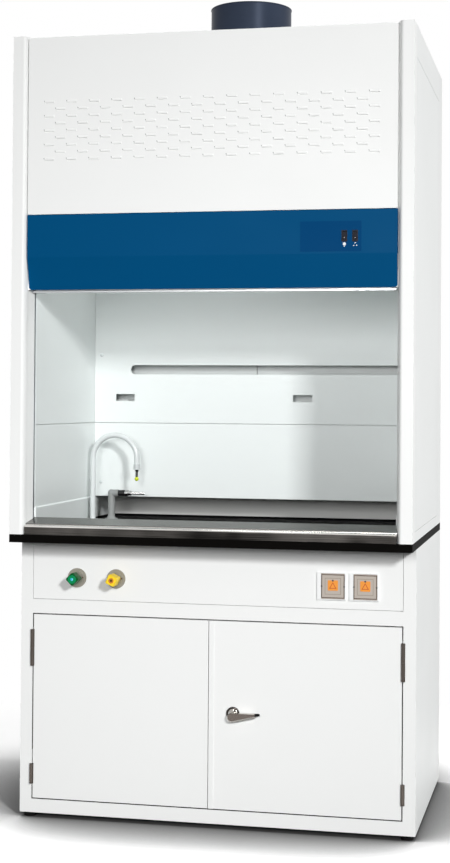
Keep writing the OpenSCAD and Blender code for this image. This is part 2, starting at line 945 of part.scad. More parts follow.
module socket_box(x) {
    z = socket_z();
    w = socket_w / 2;
    h = socket_h / 2;
    lx = x + lid_off;
    iw = w - flange_w - fit;
    ih = h - flange_w - fit;
    y0 = yc - flange_t;
    pz = z + lid_h / 2 - lid_t / 2;
    difference() {
        union() {
            span([x - w, y0, z - h], [x + w, yc, z + h]);
            span([x - iw, yc - eps, z - ih], [x + iw, yc + socket_d, z + ih]);
        }
        span([lx - lid_w / 2 - fit, y0 - eps, z - lid_h / 2 - fit],
             [lx + lid_w / 2 + fit, y0 + lid_t + fit, z + lid_h / 2 + fit]);
        span([x - hollow_w() + lid_off * 2, y0, z - hollow_h()],
             [x + hollow_w(), yc + socket_d - box_wall, z + hollow_h() - lid_t]);
        bar_x(lx - lid_w / 2 - box_wall, lx + lid_w / 2 + box_wall, y0 + lid_t / 2, pz, lid_pin + shaft_fit);
    }
}

module socket_boxes() {
    color([0.92, 0.92, 0.92])
    for (i = [0, 1])
        socket_box(socket_x(i));
}

module socket_insert(x) {
    y0 = yc + insert_set;
    y1 = y0 + insert_t;
    z = socket_z() - lid_t / 2;
    mid = x + lid_off;
    difference() {
        span([x - hollow_w() + lid_off * 2, y0, socket_z() - hollow_h()],
             [x + hollow_w(), y1, socket_z() + hollow_h() - lid_t]);
        for (s = [-1, 1])
            bar_y(mid + s * contact_in, y0 - eps, y1 + eps, z, contact_r);
        bar_y(mid, y0 - eps, y0 + insert_t / 2, z, contact_in * 2);
        bar_y(mid, y0 - eps, y1 + eps, z + contact_in, contact_r);
    }
}

module socket_inserts() {
    color([0.3, 0.3, 0.32])
    for (i = [0, 1])
        socket_insert(socket_x(i));
}

// a lid hung on its pin at the upper edge
module socket_lid(i) {
    x = socket_x(i) + lid_off;
    z = socket_z();
    y0 = yc - flange_t;
    pz = z + lid_h / 2 - lid_t / 2;
    color([0.5, 0.51, 0.52])
    union() {
        span([x - lid_w / 2, y0, z - lid_h / 2], [x + lid_w / 2, y0 + lid_t, pz]);
        bar_x(x - lid_w / 2, x + lid_w / 2, y0 + lid_t / 2, pz, lid_t / 2);
        bar_x(x - lid_w / 2 - box_wall + fit, x + lid_w / 2 + box_wall - fit, y0 + lid_t / 2, pz, lid_pin);
    }
}

module lid_a() {
    socket_lid(1);
}

module lid_b() {
    socket_lid(0);
}

// Worktop
module worktop() {
    rim_hw = liner_hw + liner_t;
    y0 = yf + rim_set;
    y1 = yr - back_t;
    color([0.05, 0.05, 0.05])
    difference() {
        union() {
            span([-hw, yf, zu], [hw, yr, zw]);
            difference() {
                span([-rim_hw, y0, zw - eps], [rim_hw, y1, zw + rim_h]);
                span([-rim_hw + rim_w, y0 + rim_w, zw], [rim_hw - rim_w, y1 - rim_w, zw + rim_h + eps]);
            }
        }
        bar_z(sink_x, yf + sink_y, zu - eps, zw + eps, sink_r + sink_wall + fit);
        bar_z(tap_x, yf + tap_y, zu - eps, zw + eps, shank_r + fit);
        bar_z(gas_x, yf + gas_y, zu - eps, zw + eps, shank_r + fit);
    }
}

module cup_sink() {
    out = sink_r + sink_wall;
    low = -sink_depth - sink_wall;
    bore = tail_r - sink_wall;
    cove = sink_r / 3;
    color([0.08, 0.08, 0.08])
    translate([sink_x, yf + sink_y, zw])
    rotate_extrude($fn = fine)
    polygon([[bore, low - tail_len], [tail_r, low - tail_len], [tail_r, low],
        [out - cove, low], [out, low + cove], [out, 0], [out + sink_flange, 0],
        [out + sink_flange, sink_lip / 2], [out + sink_flange - sink_lip, sink_lip], [sink_r, sink_lip],
        [sink_r, -sink_depth + cove], [sink_r - cove, -sink_depth], [bore, -sink_depth]]);
}

// points of an arc for profiles
function arc(cx, cy, rx, ry, a0, a1, n) = [for (i = [0 : n])
    [cx + rx * cos(a0 + (a1 - a0) * i / n), cy + ry * sin(a0 + (a1 - a0) * i / n)]];

// outline of the sill; the inner one is drawn in by the sheet thickness
function sill_line(o) = concat(
    [[yf + sill_set + o, zw]],
    arc(yf + sill_set + roll_r, zw + roll_h - roll_r, roll_r - o, roll_r - o, 180, 90, 8),
    [[yf + sill_set + roll_r + crease_set + o, zw + roll_h - o],
     [yf + sill_set + roll_r + crease_set + o, zw + roll_h + crease_h - o],
     [yf + sill_set + sill_d - o, zw + sill_h - o],
     [yf + sill_set + sill_d - o, zw + sill_h - sill_fold]]);

function reversed(v) = [for (i = [len(v) - 1 : -1 : 0]) v[i]];

module sill() {
    out = hw - post_w - fit;
    in = liner_hw - fit;
    color([0.72, 0.72, 0.72])
    difference() {
        union() {
            along_x(-out, out)
            polygon(concat(sill_line(0), reversed(sill_line(sheet))));
            for (x = [-in, in - sheet])
                along_x(x, x + sheet)
                polygon(sill_line(0));
        }
        pair()
        translate([0, 0, zw - eps])
        linear_extrude(height = sill_h + sheet)
        polygon([[out - fit, yf + nose_d], [in, yf + post_d], [in, yf + post_d + sill_d],
            [hw, yf + post_d + sill_d], [hw, yf + nose_d]]);
    }
}

// Taps
module shank(x, y, foot) {
    nut_r = shank_r * 3 / 2;
    bar_z(x, y, zw, zw + base_h, foot);
    bar_z(x, y, zu - shank_l, zw + eps, shank_r);
    bar_z(x, y, zu - shank_l / 2, zu, nut_r);
}

module tap_base() {
    color([0.78, 0.79, 0.79])
    difference() {
        shank(tap_x, yf + tap_y, base_r);
        bar_z(tap_x, yf + tap_y, zu - shank_l / 2, zw + base_h + eps, neck_r + shaft_fit);
    }
}

module swan_neck() {
    y = yf + tap_y;
    zb = zw + neck_z;
    x1 = tap_x + 2 * neck_bend;
    color([0.82, 0.84, 0.84])
    union() {
        bar_z(tap_x, y, zu - shank_l / 2 + fit, zb, neck_r);
        translate([tap_x + neck_bend, y, zb])
        rotate([90, 0, 0])
        rotate_extrude(angle = 180, $fn = 96)
        translate([neck_bend, 0])
        circle(r = neck_r, $fn = fine);
        bar_z(x1, y, zb - neck_end, zb, neck_r);
    }
}

// a stack of hose barbs on an axis pointing down
module barbs(n) {
    for (i = [0 : n - 1])
        translate([0, 0, -barb_l * (i + 1)])
        cylinder(h = barb_l + eps, r1 = barb_r * 0.7, r2 = barb_r, $fn = coarse);
}

module tap_nozzle() {
    cone = nozzle_h / 3;
    low = nozzle_h + cone;
    n = tap_barbs;
    color([0.7, 0.71, 0.72])
    translate([tap_x + 2 * neck_bend, yf + tap_y, zw + neck_z - neck_end])
    union() {
        translate([0, 0, -nozzle_h])
        cylinder(h = nozzle_h, r = nozzle_r, $fn = fine);
        translate([0, 0, -low])
        cylinder(h = cone + eps, r1 = barb_r, r2 = nozzle_r * 3 / 4, $fn = fine);
        translate([0, 0, -low + eps])
        barbs(n);
        translate([0, 0, -low - n * barb_l - bead_r * 3 / 4])
        sphere(r = bead_r, $fn = fine);
    }
}

module gas_outlet() {
    y = yf + gas_y;
    z = zw + gas_z;
    color([0.55, 0.56, 0.56])
    union() {
        shank(gas_x, y, gas_foot);
        bar_z(gas_x, y, zw + base_h - eps, z, gas_r);
        translate([gas_x, y, zw + base_h - eps])
        cylinder(h = base_h, r1 = gas_foot * 3 / 4, r2 = gas_r, $fn = fine);
        translate([gas_x, y, z])
        sphere(r = gas_head, $fn = fine);
        bar_x(gas_x, gas_x + gas_head * 2, y, z, gas_head - fit);
    }
}

module gas_nozzle() {
    y = yf + gas_y;
    z = zw + gas_z;
    x1 = gas_x + gas_head * 2;
    x2 = x1 + gas_head * 2;
    x3 = x2 + nut_l;
    x4 = x3 + nut_l;
    color([0.5, 0.5, 0.5])
    union() {
        bar_x(x1, x2, y, z, gas_head - nut_step);
        bar_x(x2 - eps, x3, y, z, gas_head - nut_step / 2);
        bar_x(x3 - eps, x4, y, z, gas_head - nut_step * 2);
        translate([x4 - eps, y, z])
        rotate([0, -90, 0])
        barbs(gas_barbs);
    }
}

// Front posts
// plan outline of the right post, drawn in by o
function post_line(o) = concat(
    [[hw - o, yf + post_d - o], [hw - o, yf + o], [hw - post_w + nose_w, yf + o]],
    arc(hw - post_w + nose_w, yf + nose_d, nose_w - o, nose_d - o, 255, 180, 5),
    [[hw - liner_in + o, yf + post_d - o]]);

module post() {
    lip_y = panel_y + return_d;
    union() {
        difference() {
            translate([0, 0, zw])
            linear_extrude(height = hood_h)
            polygon(post_line(0));
            translate([0, 0, zw - eps])
            linear_extrude(height = hood_h - cap_t)
            polygon(post_line(post_wall));
        }
        span([hw - post_w - lip_w, lip_y, zw + fascia_low], [hw - post_w + sheet / 2, lip_y + sheet, roof_z]);
    }
}

module post_r() {
    color([0.96, 0.96, 0.96])
    post();
}

module post_l() {
    color([0.96, 0.96, 0.96])
    mirror([1, 0, 0])
    post();
}

// Sides, back, roof and collar
module side() {
    ya = yf + access_set;
    yb = yr - access_rear;
    za = zw + access_low;
    zb = zt - access_drop;
    difference() {
        span([hw - side_t, side_y0, zw], [hw, yr, zt]);
        span([hw - sheet, ya, za], [hw + eps, yb, zb]);
        span([hw - side_t - eps, ya + access_lip, za + access_lip], [hw, yb - access_lip, zb - access_lip]);
    }
}

module side_r() {
    color([0.91, 0.93, 0.93])
    side();
}

module side_l() {
    color([0.91, 0.93, 0.93])
    mirror([1, 0, 0])
    side();
}

module access_panels() {
    g = access_seam;
    color([0.92, 0.94, 0.94])
    pair()
    span([hw - sheet, yf + access_set + g, zw + access_low + g],
         [hw, yr - access_rear - g, zt - access_drop - g]);
}

module hood_back() {
    x1 = hw - side_t;
    color([0.9, 0.91, 0.91])
    span([-x1, yr - back_t, zw], [x1, yr, zt]);
}

module roof() {
    x1 = hw - side_t;
    x2 = hw - post_w - fit;
    y1 = yr - back_t;
    color([0.93, 0.94, 0.94])
    difference() {
        translate([0, 0, roof_z])
        linear_extrude(height = roof_t)
        polygon([[x1, side_y0], [x1, y1], [-x1, y1], [-x1, side_y0], [-liner_hw, side_y0],
            [-x2, yf + nose_d], [-x2, yf + roof_set], [x2, yf + roof_set], [x2, yf + nose_d],
            [liner_hw, side_y0]]);
        bar_z(0, yf + collar_y, roof_z - eps, zt + eps, collar_r - collar_wall);
    }
}

module duct_collar() {
    color([0.16, 0.2, 0.25])
    difference() {
        union() {
            bar_z(0, yf + collar_y, zt, zt + collar_h, collar_r);
            bar_z(0, yf + collar_y, zt, zt + collar_ft, collar_r + collar_flange);
        }
        bar_z(0, yf + collar_y, zt - eps, zt + collar_h + eps, collar_r - collar_wall);
    }
}

// Chamber
module liner() {
    y1 = yr - back_t;
    zs = zw + seam_z;
    bevel = skirt_out;
    x0 = liner_hw;
    x1 = liner_hw + liner_t;
    span([x0, track_y1, zs + liner_seam / 2], [x1, y1, roof_z]);
    along_y(track_y1, y1)
    polygon([[x1, zw + rim_h], [x0 - skirt_out, zw + rim_h], [x0 - skirt_out, zw + skirt_h - bevel],
        [x0, zw + skirt_h], [x0, zs - liner_seam / 2], [x1, zs - liner_seam / 2]]);
}

module liner_r() {
    color([0.85, 0.88, 0.88])
    liner();
}

module liner_l() {
    color([0.85, 0.88, 0.88])
    mirror([1, 0, 0])
    liner();
}

module baffle_up() {
    x1 = liner_hw - fit;
    y0 = yf + baffle_y;
    zs = zw + seam_z + liner_seam / 2;
    sx = -hw + slot_in;
    sz = zw + slot_z;
    r = slot_w / 2;
    slope = atan2(baffle_y - fold_y, fold_top - fold_z);
    dz = liner_t * tan(slope / 2);
    dt = liner_t / cos(slope);
    color([0.87, 0.9, 0.9])
    difference() {
        along_x(-x1, x1)
        polygon([[y0, zs], [y0 + liner_t, zs], [y0 + liner_t, zw + fold_z + dz],
            [yf + fold_y + dt, zw + fold_top], [yf + fold_y, zw + fold_top], [y0, zw + fold_z]]);
        bar_y(sx + r, y0 - eps, y0 + liner_t + eps, sz, r);
        bar_y(sx + slot_l - r, y0 - eps, y0 + liner_t + eps, sz, r);
        span([sx + r, y0 - eps, sz - r], [sx + slot_l - r, y0 + liner_t + eps, sz + r]);
        for (i = [0, 1])
            span([-hw + window_in + i * window_px, y0 - eps, zw + window_z - window_w / 2],
                 [-hw + window_in + i * window_px + window_l, y0 + liner_t + eps, zw + window_z + window_w / 2]);
    }
}

module baffle_low() {
    x1 = liner_hw - fit;
    y0 = yf + baffle_y;
    zs = zw + seam_z - liner_seam / 2;
    color([0.87, 0.9, 0.9])
    span([-x1, y0, zw + baffle_low], [x1, y0 + liner_t, zs]);
}

module baffle_spacers() {
    y0 = yf + baffle_y + liner_t;
    x = liner_hw - spacer_in;
    color([0.7, 0.7, 0.7])
    for (z = [zw + spacer_hi, zw + spacer_lo])
        for (s = [-1, 0, 1])
            bar_y(s * x, y0, yr - back_t, z, spacer_r);
}

module ceiling() {
    x1 = liner_hw - fit;
    z = zw + ceiling_z;
    y0 = yf + ceiling_set;
    y1 = yf + exhaust_y;
    color([0.9, 0.92, 0.92])
    difference() {
        union() {
            span([-x1, y0, z], [x1, y1, z + liner_t]);
            span([-x1, y1 - liner_t, z + eps], [x1, y1, roof_z]);
        }
        span([-lamp_l / 2, yf + lamp_y, z - eps], [lamp_l / 2, yf + lamp_y + lamp_w, z + liner_t + eps]);
    }
}

module lamp_glass() {
    z = zw + ceiling_z + liner_t;
    color([0.9, 0.95, 0.95])
    span([-lamp_l / 2 - lamp_rest, yf + lamp_y - lamp_rest, z],
         [lamp_l / 2 + lamp_rest, yf + lamp_y + lamp_w + lamp_rest, z + glass_t]);
}

module lamp_housing() {
    z = zw + ceiling_z + liner_t;
    x1 = lamp_l / 2 + lamp_rest + fit;
    y0 = yf + lamp_y - lamp_rest - fit;
    y1 = yf + lamp_y + lamp_w + lamp_rest + fit;
    ym = yf + lamp_y + lamp_w / 2;
    zm = z + lamp_h / 2;
    color([0.9, 0.9, 0.9])
    union() {
        difference() {
            span([-x1 - sheet, y0 - sheet, z], [x1 + sheet, y1 + sheet, z + lamp_h]);
            span([-x1, y0, z - eps], [x1, y1, z + lamp_h - sheet]);
        }
        for (s = [-1, 1])
            span([s * lamp_l / 2 - lamp_rest, ym - lamp_r, zm], [s * lamp_l / 2 + lamp_rest, ym + lamp_r,
                z + lamp_h - sheet + eps]);
    }
}

module lamp_tube() {
    x1 = lamp_l / 2 - lamp_rest;
    color([0.97, 0.97, 0.95])
    bar_x(-x1, x1, yf + lamp_y + lamp_w / 2, zw + ceiling_z + liner_t + lamp_h / 2, lamp_r);
}

// Front panels
module louvre_row(n, z) {
    for (i = [0 : n - 1])
        translate([(i - (n - 1) / 2) * louvre_px - louvre_l / 2, 0, z])
        children();
}

module all_louvres() {
    for (k = [0 : louvre_rows - 1])
        louvre_row(k % 2 == 0 ? louvre_n : louvre_n - 1, zw + louvre_z + (k - (louvre_rows - 1) / 2) * louvre_pz)
        children();
}

module front_panel() {
    z0 = zw + fascia_top + fascia_gap;
    x1 = front_hw;
    y1 = panel_y + return_d;
    color([0.97, 0.97, 0.97])
    difference() {
        union() {
            difference() {
                span([-x1, panel_y, z0], [x1, y1, roof_z]);
                span([-x1 + sheet, panel_y + sheet, z0 + sheet], [x1 - sheet, y1 + eps, roof_z - sheet]);
            }
            intersection() {
                all_louvres()
                bar_x(0, louvre_l, panel_y + louvre_r - louvre_out, 0, louvre_r);
                span([-x1, yf, z0], [x1, panel_y + sheet / 2, roof_z]);
            }
        }
        all_louvres()
        span([sheet / 2, panel_y - louvre_out - eps, -louvre_r], [louvre_l - sheet / 2, panel_y + sheet + eps,
            -louvre_r + louvre_slot]);
    }
}

module fascia() {
    f = panel_y;
    z1 = zw + fascia_top;
    zb = zw + fascia_bend;
    z0 = zw + fascia_low;
    x1 = front_hw;
    xt = front_hw - fascia_taper;
    back = f + return_d;
    color([0.05, 0.33, 0.52])
    difference() {
        union() {
            intersection() {
                along_x(-x1, x1)
                polygon([[f, z1], [f, zb], [f + fascia_lean, z0], [f + fascia_lean + fascia_lip, z0],
                    [f + fascia_lean + fascia_lip, z0 + sheet], [f + fascia_lean + sheet, z0 + sheet],
                    [f + sheet, zb], [f + sheet, z1 - sheet], [back, z1 - sheet], [back, z1]]);
                along_y(f - eps, back + fascia_lip + fascia_lean)
                polygon(concat([[-x1, z1], [-x1, zb]], arc(-xt + fascia_r, z0 + fascia_r, fascia_r, fascia_r, 186, 270, 5),
                    arc(xt - fascia_r, z0 + fascia_r, fascia_r, fascia_r, 270, 354, 5), [[x1, zb], [x1, z1]]));
            }
            for (x = [-x1, x1 - sheet])
                span([x, f + eps, zb], [x + sheet, back, z1 - eps]);
        }
        for (x = [switch_x0, switch_x1])
            switch_hole(x, f - eps, f + sheet + eps);
    }
}

// opening for a switch body
module switch_hole(x, y0, y1) {
    w = switch_w / 2 - sheet / 2;
    h = switch_h / 2 - sheet / 2;
    span([x - w, y0, switch_z - h], [x + w, y1, switch_z + h]);
}

module overlay() {
    color([0.04, 0.3, 0.48])
    difference() {
        span([overlay_x1 - overlay_w, panel_y - overlay_t, overlay_z1 - overlay_h], [overlay_x1, panel_y, overlay_z1]);
        for (x = [switch_x0, switch_x1])
            switch_hole(x, panel_y - overlay_t - eps, panel_y + eps);
    }
}

module switch_bezels() {
    y0 = panel_y - overlay_t - switch_t;
    y1 = panel_y - overlay_t;
    w = switch_w / 2;
    h = switch_h / 2;
    b = sheet / 2 + fit / 2;
    color([0.04, 0.04, 0.05])
    for (x = [switch_x0, switch_x1])
        difference() {
            union() {
                span([x - w, y0, switch_z - h], [x + w, y1, switch_z + h]);
                span([x - w + b, y1 - eps, switch_z - h + b], [x + w - b, y0 + switch_d, switch_z + h - b]);
            }
            span([x - rocker_w / 2 - fit, y0 - eps, switch_z - rocker_r - fit],
                 [x + rocker_w / 2 + fit, y0 + switch_d - sheet, switch_z + rocker_r + fit]);
            bar_x(x - w, x + w, y0 + rocker_pivot, switch_z, pivot_r + shaft_fit);
        }
}

module rocker(x) {
    y = panel_y - overlay_t - switch_t + rocker_pivot;
    end = switch_w / 2 - sheet / 2 - fit;
    color([0.02, 0.02, 0.03])
    translate([x, y, switch_z])
    rotate([rocker_tilt, 0, 0])
    union() {
        intersection() {
            bar_x(-rocker_w / 2, rocker_w / 2, 0, 0, rocker_r);
            span([-rocker_w, -rocker_face, -rocker_r * 2], [rocker_w, rocker_r * 2, rocker_r * 2]);
        }
        bar_x(-end, end, 0, 0, pivot_r);
    }
}

module rocker_a() {
    rocker(switch_x0);
}

module rocker_b() {
    rocker(switch_x1);
}

// Sash
module track() {
    x0 = liner_hw + track_wall / 2;
    x1 = hw - track_in;
    x2 = x0 + track_lip;
    m = glass_t / 2 + fit;
    y = yf + sash_y;
    difference() {
        span([x0, track_y0, zw], [x1, track_y1, roof_z]);
        span([x2, track_y0 + track_wall, zw - eps], [x1 - track_wall, track_y1 - track_wall, roof_z + eps]);
        span([x0 - eps, y - m, zw - eps], [x2 + eps, y + m, roof_z + eps]);
    }
}

module sash_tracks() {
    color([0.75, 0.76, 0.77])
    pair()
    track();
}

function tube_x() = hw - track_in - track_wall - tube_r - fit / 2;

module balance_tubes() {
    z0 = zw + sash_low + shoe_h + sash_gap;
    color([0.6, 0.6, 0.62])
    pair()
    difference() {
        bar_z(tube_x(), yf + sash_y, z0, roof_z, tube_r);
        bar_z(tube_x(), yf + sash_y, z0 - eps, roof_z - cap_t, tube_r - tube_wall);
    }
}

module sash_glass() {
    x1 = hw - glass_in;
    y = yf + sash_y;
    color([0.8, 0.9, 0.88])
    span([-x1, y - glass_t / 2, zw + sash_low + sheet * 2], [x1, y + glass_t / 2, zw + sash_low + sash_h - sheet]);
}

module sash_handle() {
    x1 = liner_hw - sash_gap;
    y1 = yf + sash_y + glass_t / 2 + sheet;
    y0 = y1 - handle_d;
    z0 = zw + sash_low;
    z1 = z0 + handle_h;
    g = glass_t / 2;
    y = yf + sash_y;
    grip = handle_d - glass_t - 3 * sheet;
    color([0.8, 0.81, 0.82])
    difference() {
        span([-x1, y0, z0], [x1, y1, z1]);
        span([-x1 - eps, y - g, z0 + sheet * 2], [x1 + eps, y + g, z1 + eps]);
        span([-x1 - eps, y0 - eps, z0 + sheet * 2], [x1 + eps, y0 + grip, z1 - sheet]);
        span([-x1 - eps, y0 - eps, z1 - sheet - eps], [x1 + eps, y0 + grip / 2, z1 + eps]);
    }
}

module sash_rail() {
    x1 = liner_hw - sash_gap;
    y = yf + sash_y;
    g = glass_t / 2;
    z1 = zw + sash_low + sash_h;
    color([0.8, 0.81, 0.82])
    difference() {
        span([-x1, y - g - sheet, z1 - rail_h], [x1, y + g + sheet, z1]);
        span([-x1 - eps, y - g, z1 - rail_h - eps], [x1 + eps, y + g, z1 - sheet]);
    }
}

module sash_shoes() {
    x1 = hw - track_in - track_wall - fit;
    y = yf + sash_y;
    z0 = zw + sash_low;
    color([0.2, 0.2, 0.2])
    pair()
    difference() {
        union() {
            span([x1 - shoe_w, y - shoe_d / 2, z0], [x1, y + shoe_d / 2, z0 + shoe_h]);
            bar_z(tube_x(), y, z0 + shoe_h - eps, z0 + sash_h + shoe_h / 2, rod_r);
        }
        span([0, y - glass_t / 2, z0 + sheet * 2], [hw - glass_in, y + glass_t / 2, z0 + shoe_h + eps]);
    }
}

carcass();
cab_back();
cab_frame();
cab_shelf();
service_strip();
feet();
door_l();
door_r();
hinge_frame();
hinge_door_l();
hinge_door_r();
latch_rose();
latch_lever();
latch_cam();
valve_roses();
knob_water();
knob_gas();
pipe_water();
pipe_gas();
socket_boxes();
socket_inserts();
lid_a();
lid_b();
worktop();
cup_sink();
sill();
tap_base();
swan_neck();
tap_nozzle();
gas_outlet();
gas_nozzle();
post_l();
post_r();
side_l();
side_r();
access_panels();
liner_l();
liner_r();
hood_back();
baffle_up();
baffle_low();
baffle_spacers();
ceiling();
lamp_housing();
lamp_glass();
lamp_tube();
roof();
duct_collar();
front_panel();
fascia();
overlay();
switch_bezels();
rocker_a();
rocker_b();
sash_tracks();
balance_tubes();
sash_glass();
sash_handle();
sash_rail();
sash_shoes();
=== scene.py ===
# %% [markdown]
# # A ducted fume hood, dressed for its portrait
# The CAD model is already a whole fume hood: cabinet, worktop, chamber, sash, louvred front
# and duct collar. This lesson gives every sheet, pane and knob its finish, adds the small
# pieces that no solid has to carry, and sets up the floor, the light and the camera.
# The frame comes first, because every piece below is placed by what it holds.

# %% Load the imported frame
import json
import math

import bmesh
import bpy
from mathutils import Matrix, Vector


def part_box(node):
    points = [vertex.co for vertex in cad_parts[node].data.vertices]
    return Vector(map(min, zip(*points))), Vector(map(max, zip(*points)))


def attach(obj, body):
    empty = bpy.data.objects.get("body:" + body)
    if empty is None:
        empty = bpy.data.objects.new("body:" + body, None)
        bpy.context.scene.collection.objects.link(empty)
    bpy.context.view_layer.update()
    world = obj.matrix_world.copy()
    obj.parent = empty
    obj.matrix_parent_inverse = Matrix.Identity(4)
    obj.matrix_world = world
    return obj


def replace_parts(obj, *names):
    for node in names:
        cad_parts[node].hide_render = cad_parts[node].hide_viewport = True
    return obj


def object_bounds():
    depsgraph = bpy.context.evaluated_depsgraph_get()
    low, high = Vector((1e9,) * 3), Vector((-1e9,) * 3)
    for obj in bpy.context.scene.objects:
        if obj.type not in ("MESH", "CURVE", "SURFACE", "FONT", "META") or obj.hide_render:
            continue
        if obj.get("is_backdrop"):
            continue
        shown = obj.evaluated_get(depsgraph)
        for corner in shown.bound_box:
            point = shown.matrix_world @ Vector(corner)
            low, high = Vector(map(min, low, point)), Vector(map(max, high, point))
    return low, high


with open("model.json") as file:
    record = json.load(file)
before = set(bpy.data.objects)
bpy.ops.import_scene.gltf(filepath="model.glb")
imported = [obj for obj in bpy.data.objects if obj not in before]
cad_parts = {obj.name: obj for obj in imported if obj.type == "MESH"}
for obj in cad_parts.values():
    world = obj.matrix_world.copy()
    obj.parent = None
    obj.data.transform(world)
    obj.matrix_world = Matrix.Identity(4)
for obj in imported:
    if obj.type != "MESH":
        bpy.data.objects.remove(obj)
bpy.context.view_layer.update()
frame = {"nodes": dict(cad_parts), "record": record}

MM = 0.001

# %% [markdown]
# ## The camera
# The photograph is taken from the right of the hood and a little above its worktop, from
# about five metres, with the lens pointed almost level. The upright edges stay upright in
# the picture, so the picture was shifted down rather than the camera tilted. A camera could
# be aimed by hand at the middle of the hood, but then the uprights would lean. Yaw, pitch and
# roll were fitted to the edges of the posts and the worktop, and are written here as they are.

# %% Place the camera
PICTURE = (450, 863)
EYE = Vector((1.07896, -5.04269, 1.26656))
YAW, PITCH, ROLL = -0.2192, 0.01738, 0.00706
FOCAL_PIXELS = 1628.213
SENSOR = 36
LENS_SHIFT = (0.00062, -0.0688)

ahead = Vector((math.sin(YAW) * math.cos(PITCH), math.cos(YAW) * math.cos(PITCH), math.sin(PITCH)))
flat_right = Vector((math.cos(YAW), -math.sin(YAW), 0))
flat_up = flat_right.cross(ahead)
right = flat_right * math.cos(ROLL) + flat_up * math.sin(ROLL)
up = flat_up * math.cos(ROLL) - flat_right * math.sin(ROLL)

camera = bpy.data.objects.new("camera", bpy.data.cameras.new("camera"))
bpy.context.scene.collection.objects.link(camera)
camera.matrix_world = Matrix.Translation(EYE) @ Matrix((right, up, -ahead)).transposed().to_4x4()
camera.data.sensor_width = SENSOR
camera.data.lens = FOCAL_PIXELS * SENSOR / max(PICTURE)
camera.data.shift_x, camera.data.shift_y = LENS_SHIFT
bpy.context.scene.camera = camera
print("camera at", [round(v, 3) for v in EYE], "lens", round(camera.data.lens, 2))

# %% [markdown]
# ## Colours
# A colour read from a picture is in display values from 0 to 255. Blender keeps linear
# values, so one small helper turns the first into the second.

# %% Turn display colours into linear ones
def paint(red, green, blue):
    """A display colour as the linear colour that Blender stores."""
    def linear(value):
        value /= 255
        return value / 12.92 if value <= 0.04045 else ((value + 0.055) / 1.055) ** 2.4
    return (linear(red), linear(green), linear(blue), 1.0)

def dim(colour, share):
    """The same colour with that share of its light taken away."""
    return tuple(v * (1 - share) for v in colour[:3]) + (1.0,)

print("white paint", [round(v, 3) for v in paint(244, 245, 244)])

# %% [markdown]
# ## Nodes
# Every material and every geometry tree below is a chain of nodes. One helper adds a node,
# sets its properties and fills its inputs. The others wrap the steps that come back most.

# %% Write the node helpers
def grey(level):
    """A colour with one level in all three channels."""
    return (level, level, level, 1.0)

def feed(tree, socket, value):
    """Gives a socket a plain value, or links it to another socket."""
    if isinstance(value, bpy.types.NodeSocket):
        tree.links.new(value, socket)
    else:
        socket.default_value = value

def add(tree, kind, values=None, **settings):
    """Adds a node: first its own settings, then its sockets, by name or by number."""
    node = tree.nodes.new(kind)
    for title, value in settings.items():
        setattr(node, title, value)
    for socket, value in (values or {}).items():
        feed(tree, node.inputs[socket], value)
    return node

def maths(tree, operation, *terms):
    """One sum over sockets and plain numbers."""
    return add(tree, "ShaderNodeMath", dict(enumerate(terms)), operation=operation).outputs[0]

def mix(tree, factor, first, second, kind="RGBA"):
    """Mixes two colours, or two numbers with kind FLOAT, by a factor."""
    node = add(tree, "ShaderNodeMix", {"Factor": factor}, data_type=kind)
    wanted = "VALUE" if kind == "FLOAT" else kind
    pair = [s for s in node.inputs if s.type == wanted and s.name in ("A", "B")]
    for socket, value in zip(pair, (first, second)):
        feed(tree, socket, value)
    return [s for s in node.outputs if s.type == wanted][0]

def in_sight(tree):
    """One for a ray from the camera, a mirror or a pane, and nought for light on its way."""
    path = add(tree, "ShaderNodeLightPath").outputs
    direct = maths(tree, "MAXIMUM", path["Is Camera Ray"], path["Is Glossy Ray"])
    return maths(tree, "MAXIMUM", direct, path["Is Transmission Ray"])

print("node helpers ready")

# %% [markdown]
# ## Light
# The shadows of the knobs and of the latch fall down and to the left, soft but plain to see,
# and they keep a little more than half of the light. So a key softbox stands at the right
# front, higher than the worktop, and gives the other part. A broad fill near the camera
# stands low enough to reach deep into the chamber, which light from above could not, and a
# third softbox lifts the right side. The first two wear a grid, which narrows their light,
# and are aimed low, so that the near top of the hood gets no more than the far doors. A
# small lamp hangs inside, high behind the sash, because no light from outside reaches the
# upper liner.
# The world adds a low even light, and shows plain white to the camera and to metal and glass
# that mirror it. The levels add up to white paint just short of clipping.

# %% Set the studio light
STUDIO_LEVEL = 0.17
SOFTBOXES = {    # name: place, aim, side in metres, opening of its grid in degrees, power
    "key_softbox": ((4.1, -6.5, 3.4), (-0.9, -0.35, 0.0), 0.8, 100, 117),
    "front_fill": ((0.2, -5.4, 1.95), (-0.5, -0.3, 0.4), 1.2, 100, 31),
    "side_fill": ((5.2, 0.8, 1.7), (0.6, 0.1, 1.25), 2.0, 180, 102),
    "chamber_lamp": ((-0.1, -0.18, 2.14), (-0.1, -0.14, 1.0), 0.4, 180, 2.8),
}

world = bpy.data.worlds.new("white_studio")
bpy.context.scene.world = world
world.use_nodes = True
sky = world.node_tree
sky.nodes.clear()
soft_sky = add(sky, "ShaderNodeBackground", {"Color": grey(1.0), "Strength": STUDIO_LEVEL})
white_sky = add(sky, "ShaderNodeBackground", {"Color": grey(1.0), "Strength": 1.0})
choose_sky = add(sky, "ShaderNodeMixShader", {
    0: in_sight(sky), 1: soft_sky.outputs[0], 2: white_sky.outputs[0]})
add(sky, "ShaderNodeOutputWorld", {0: choose_sky.outputs[0]})

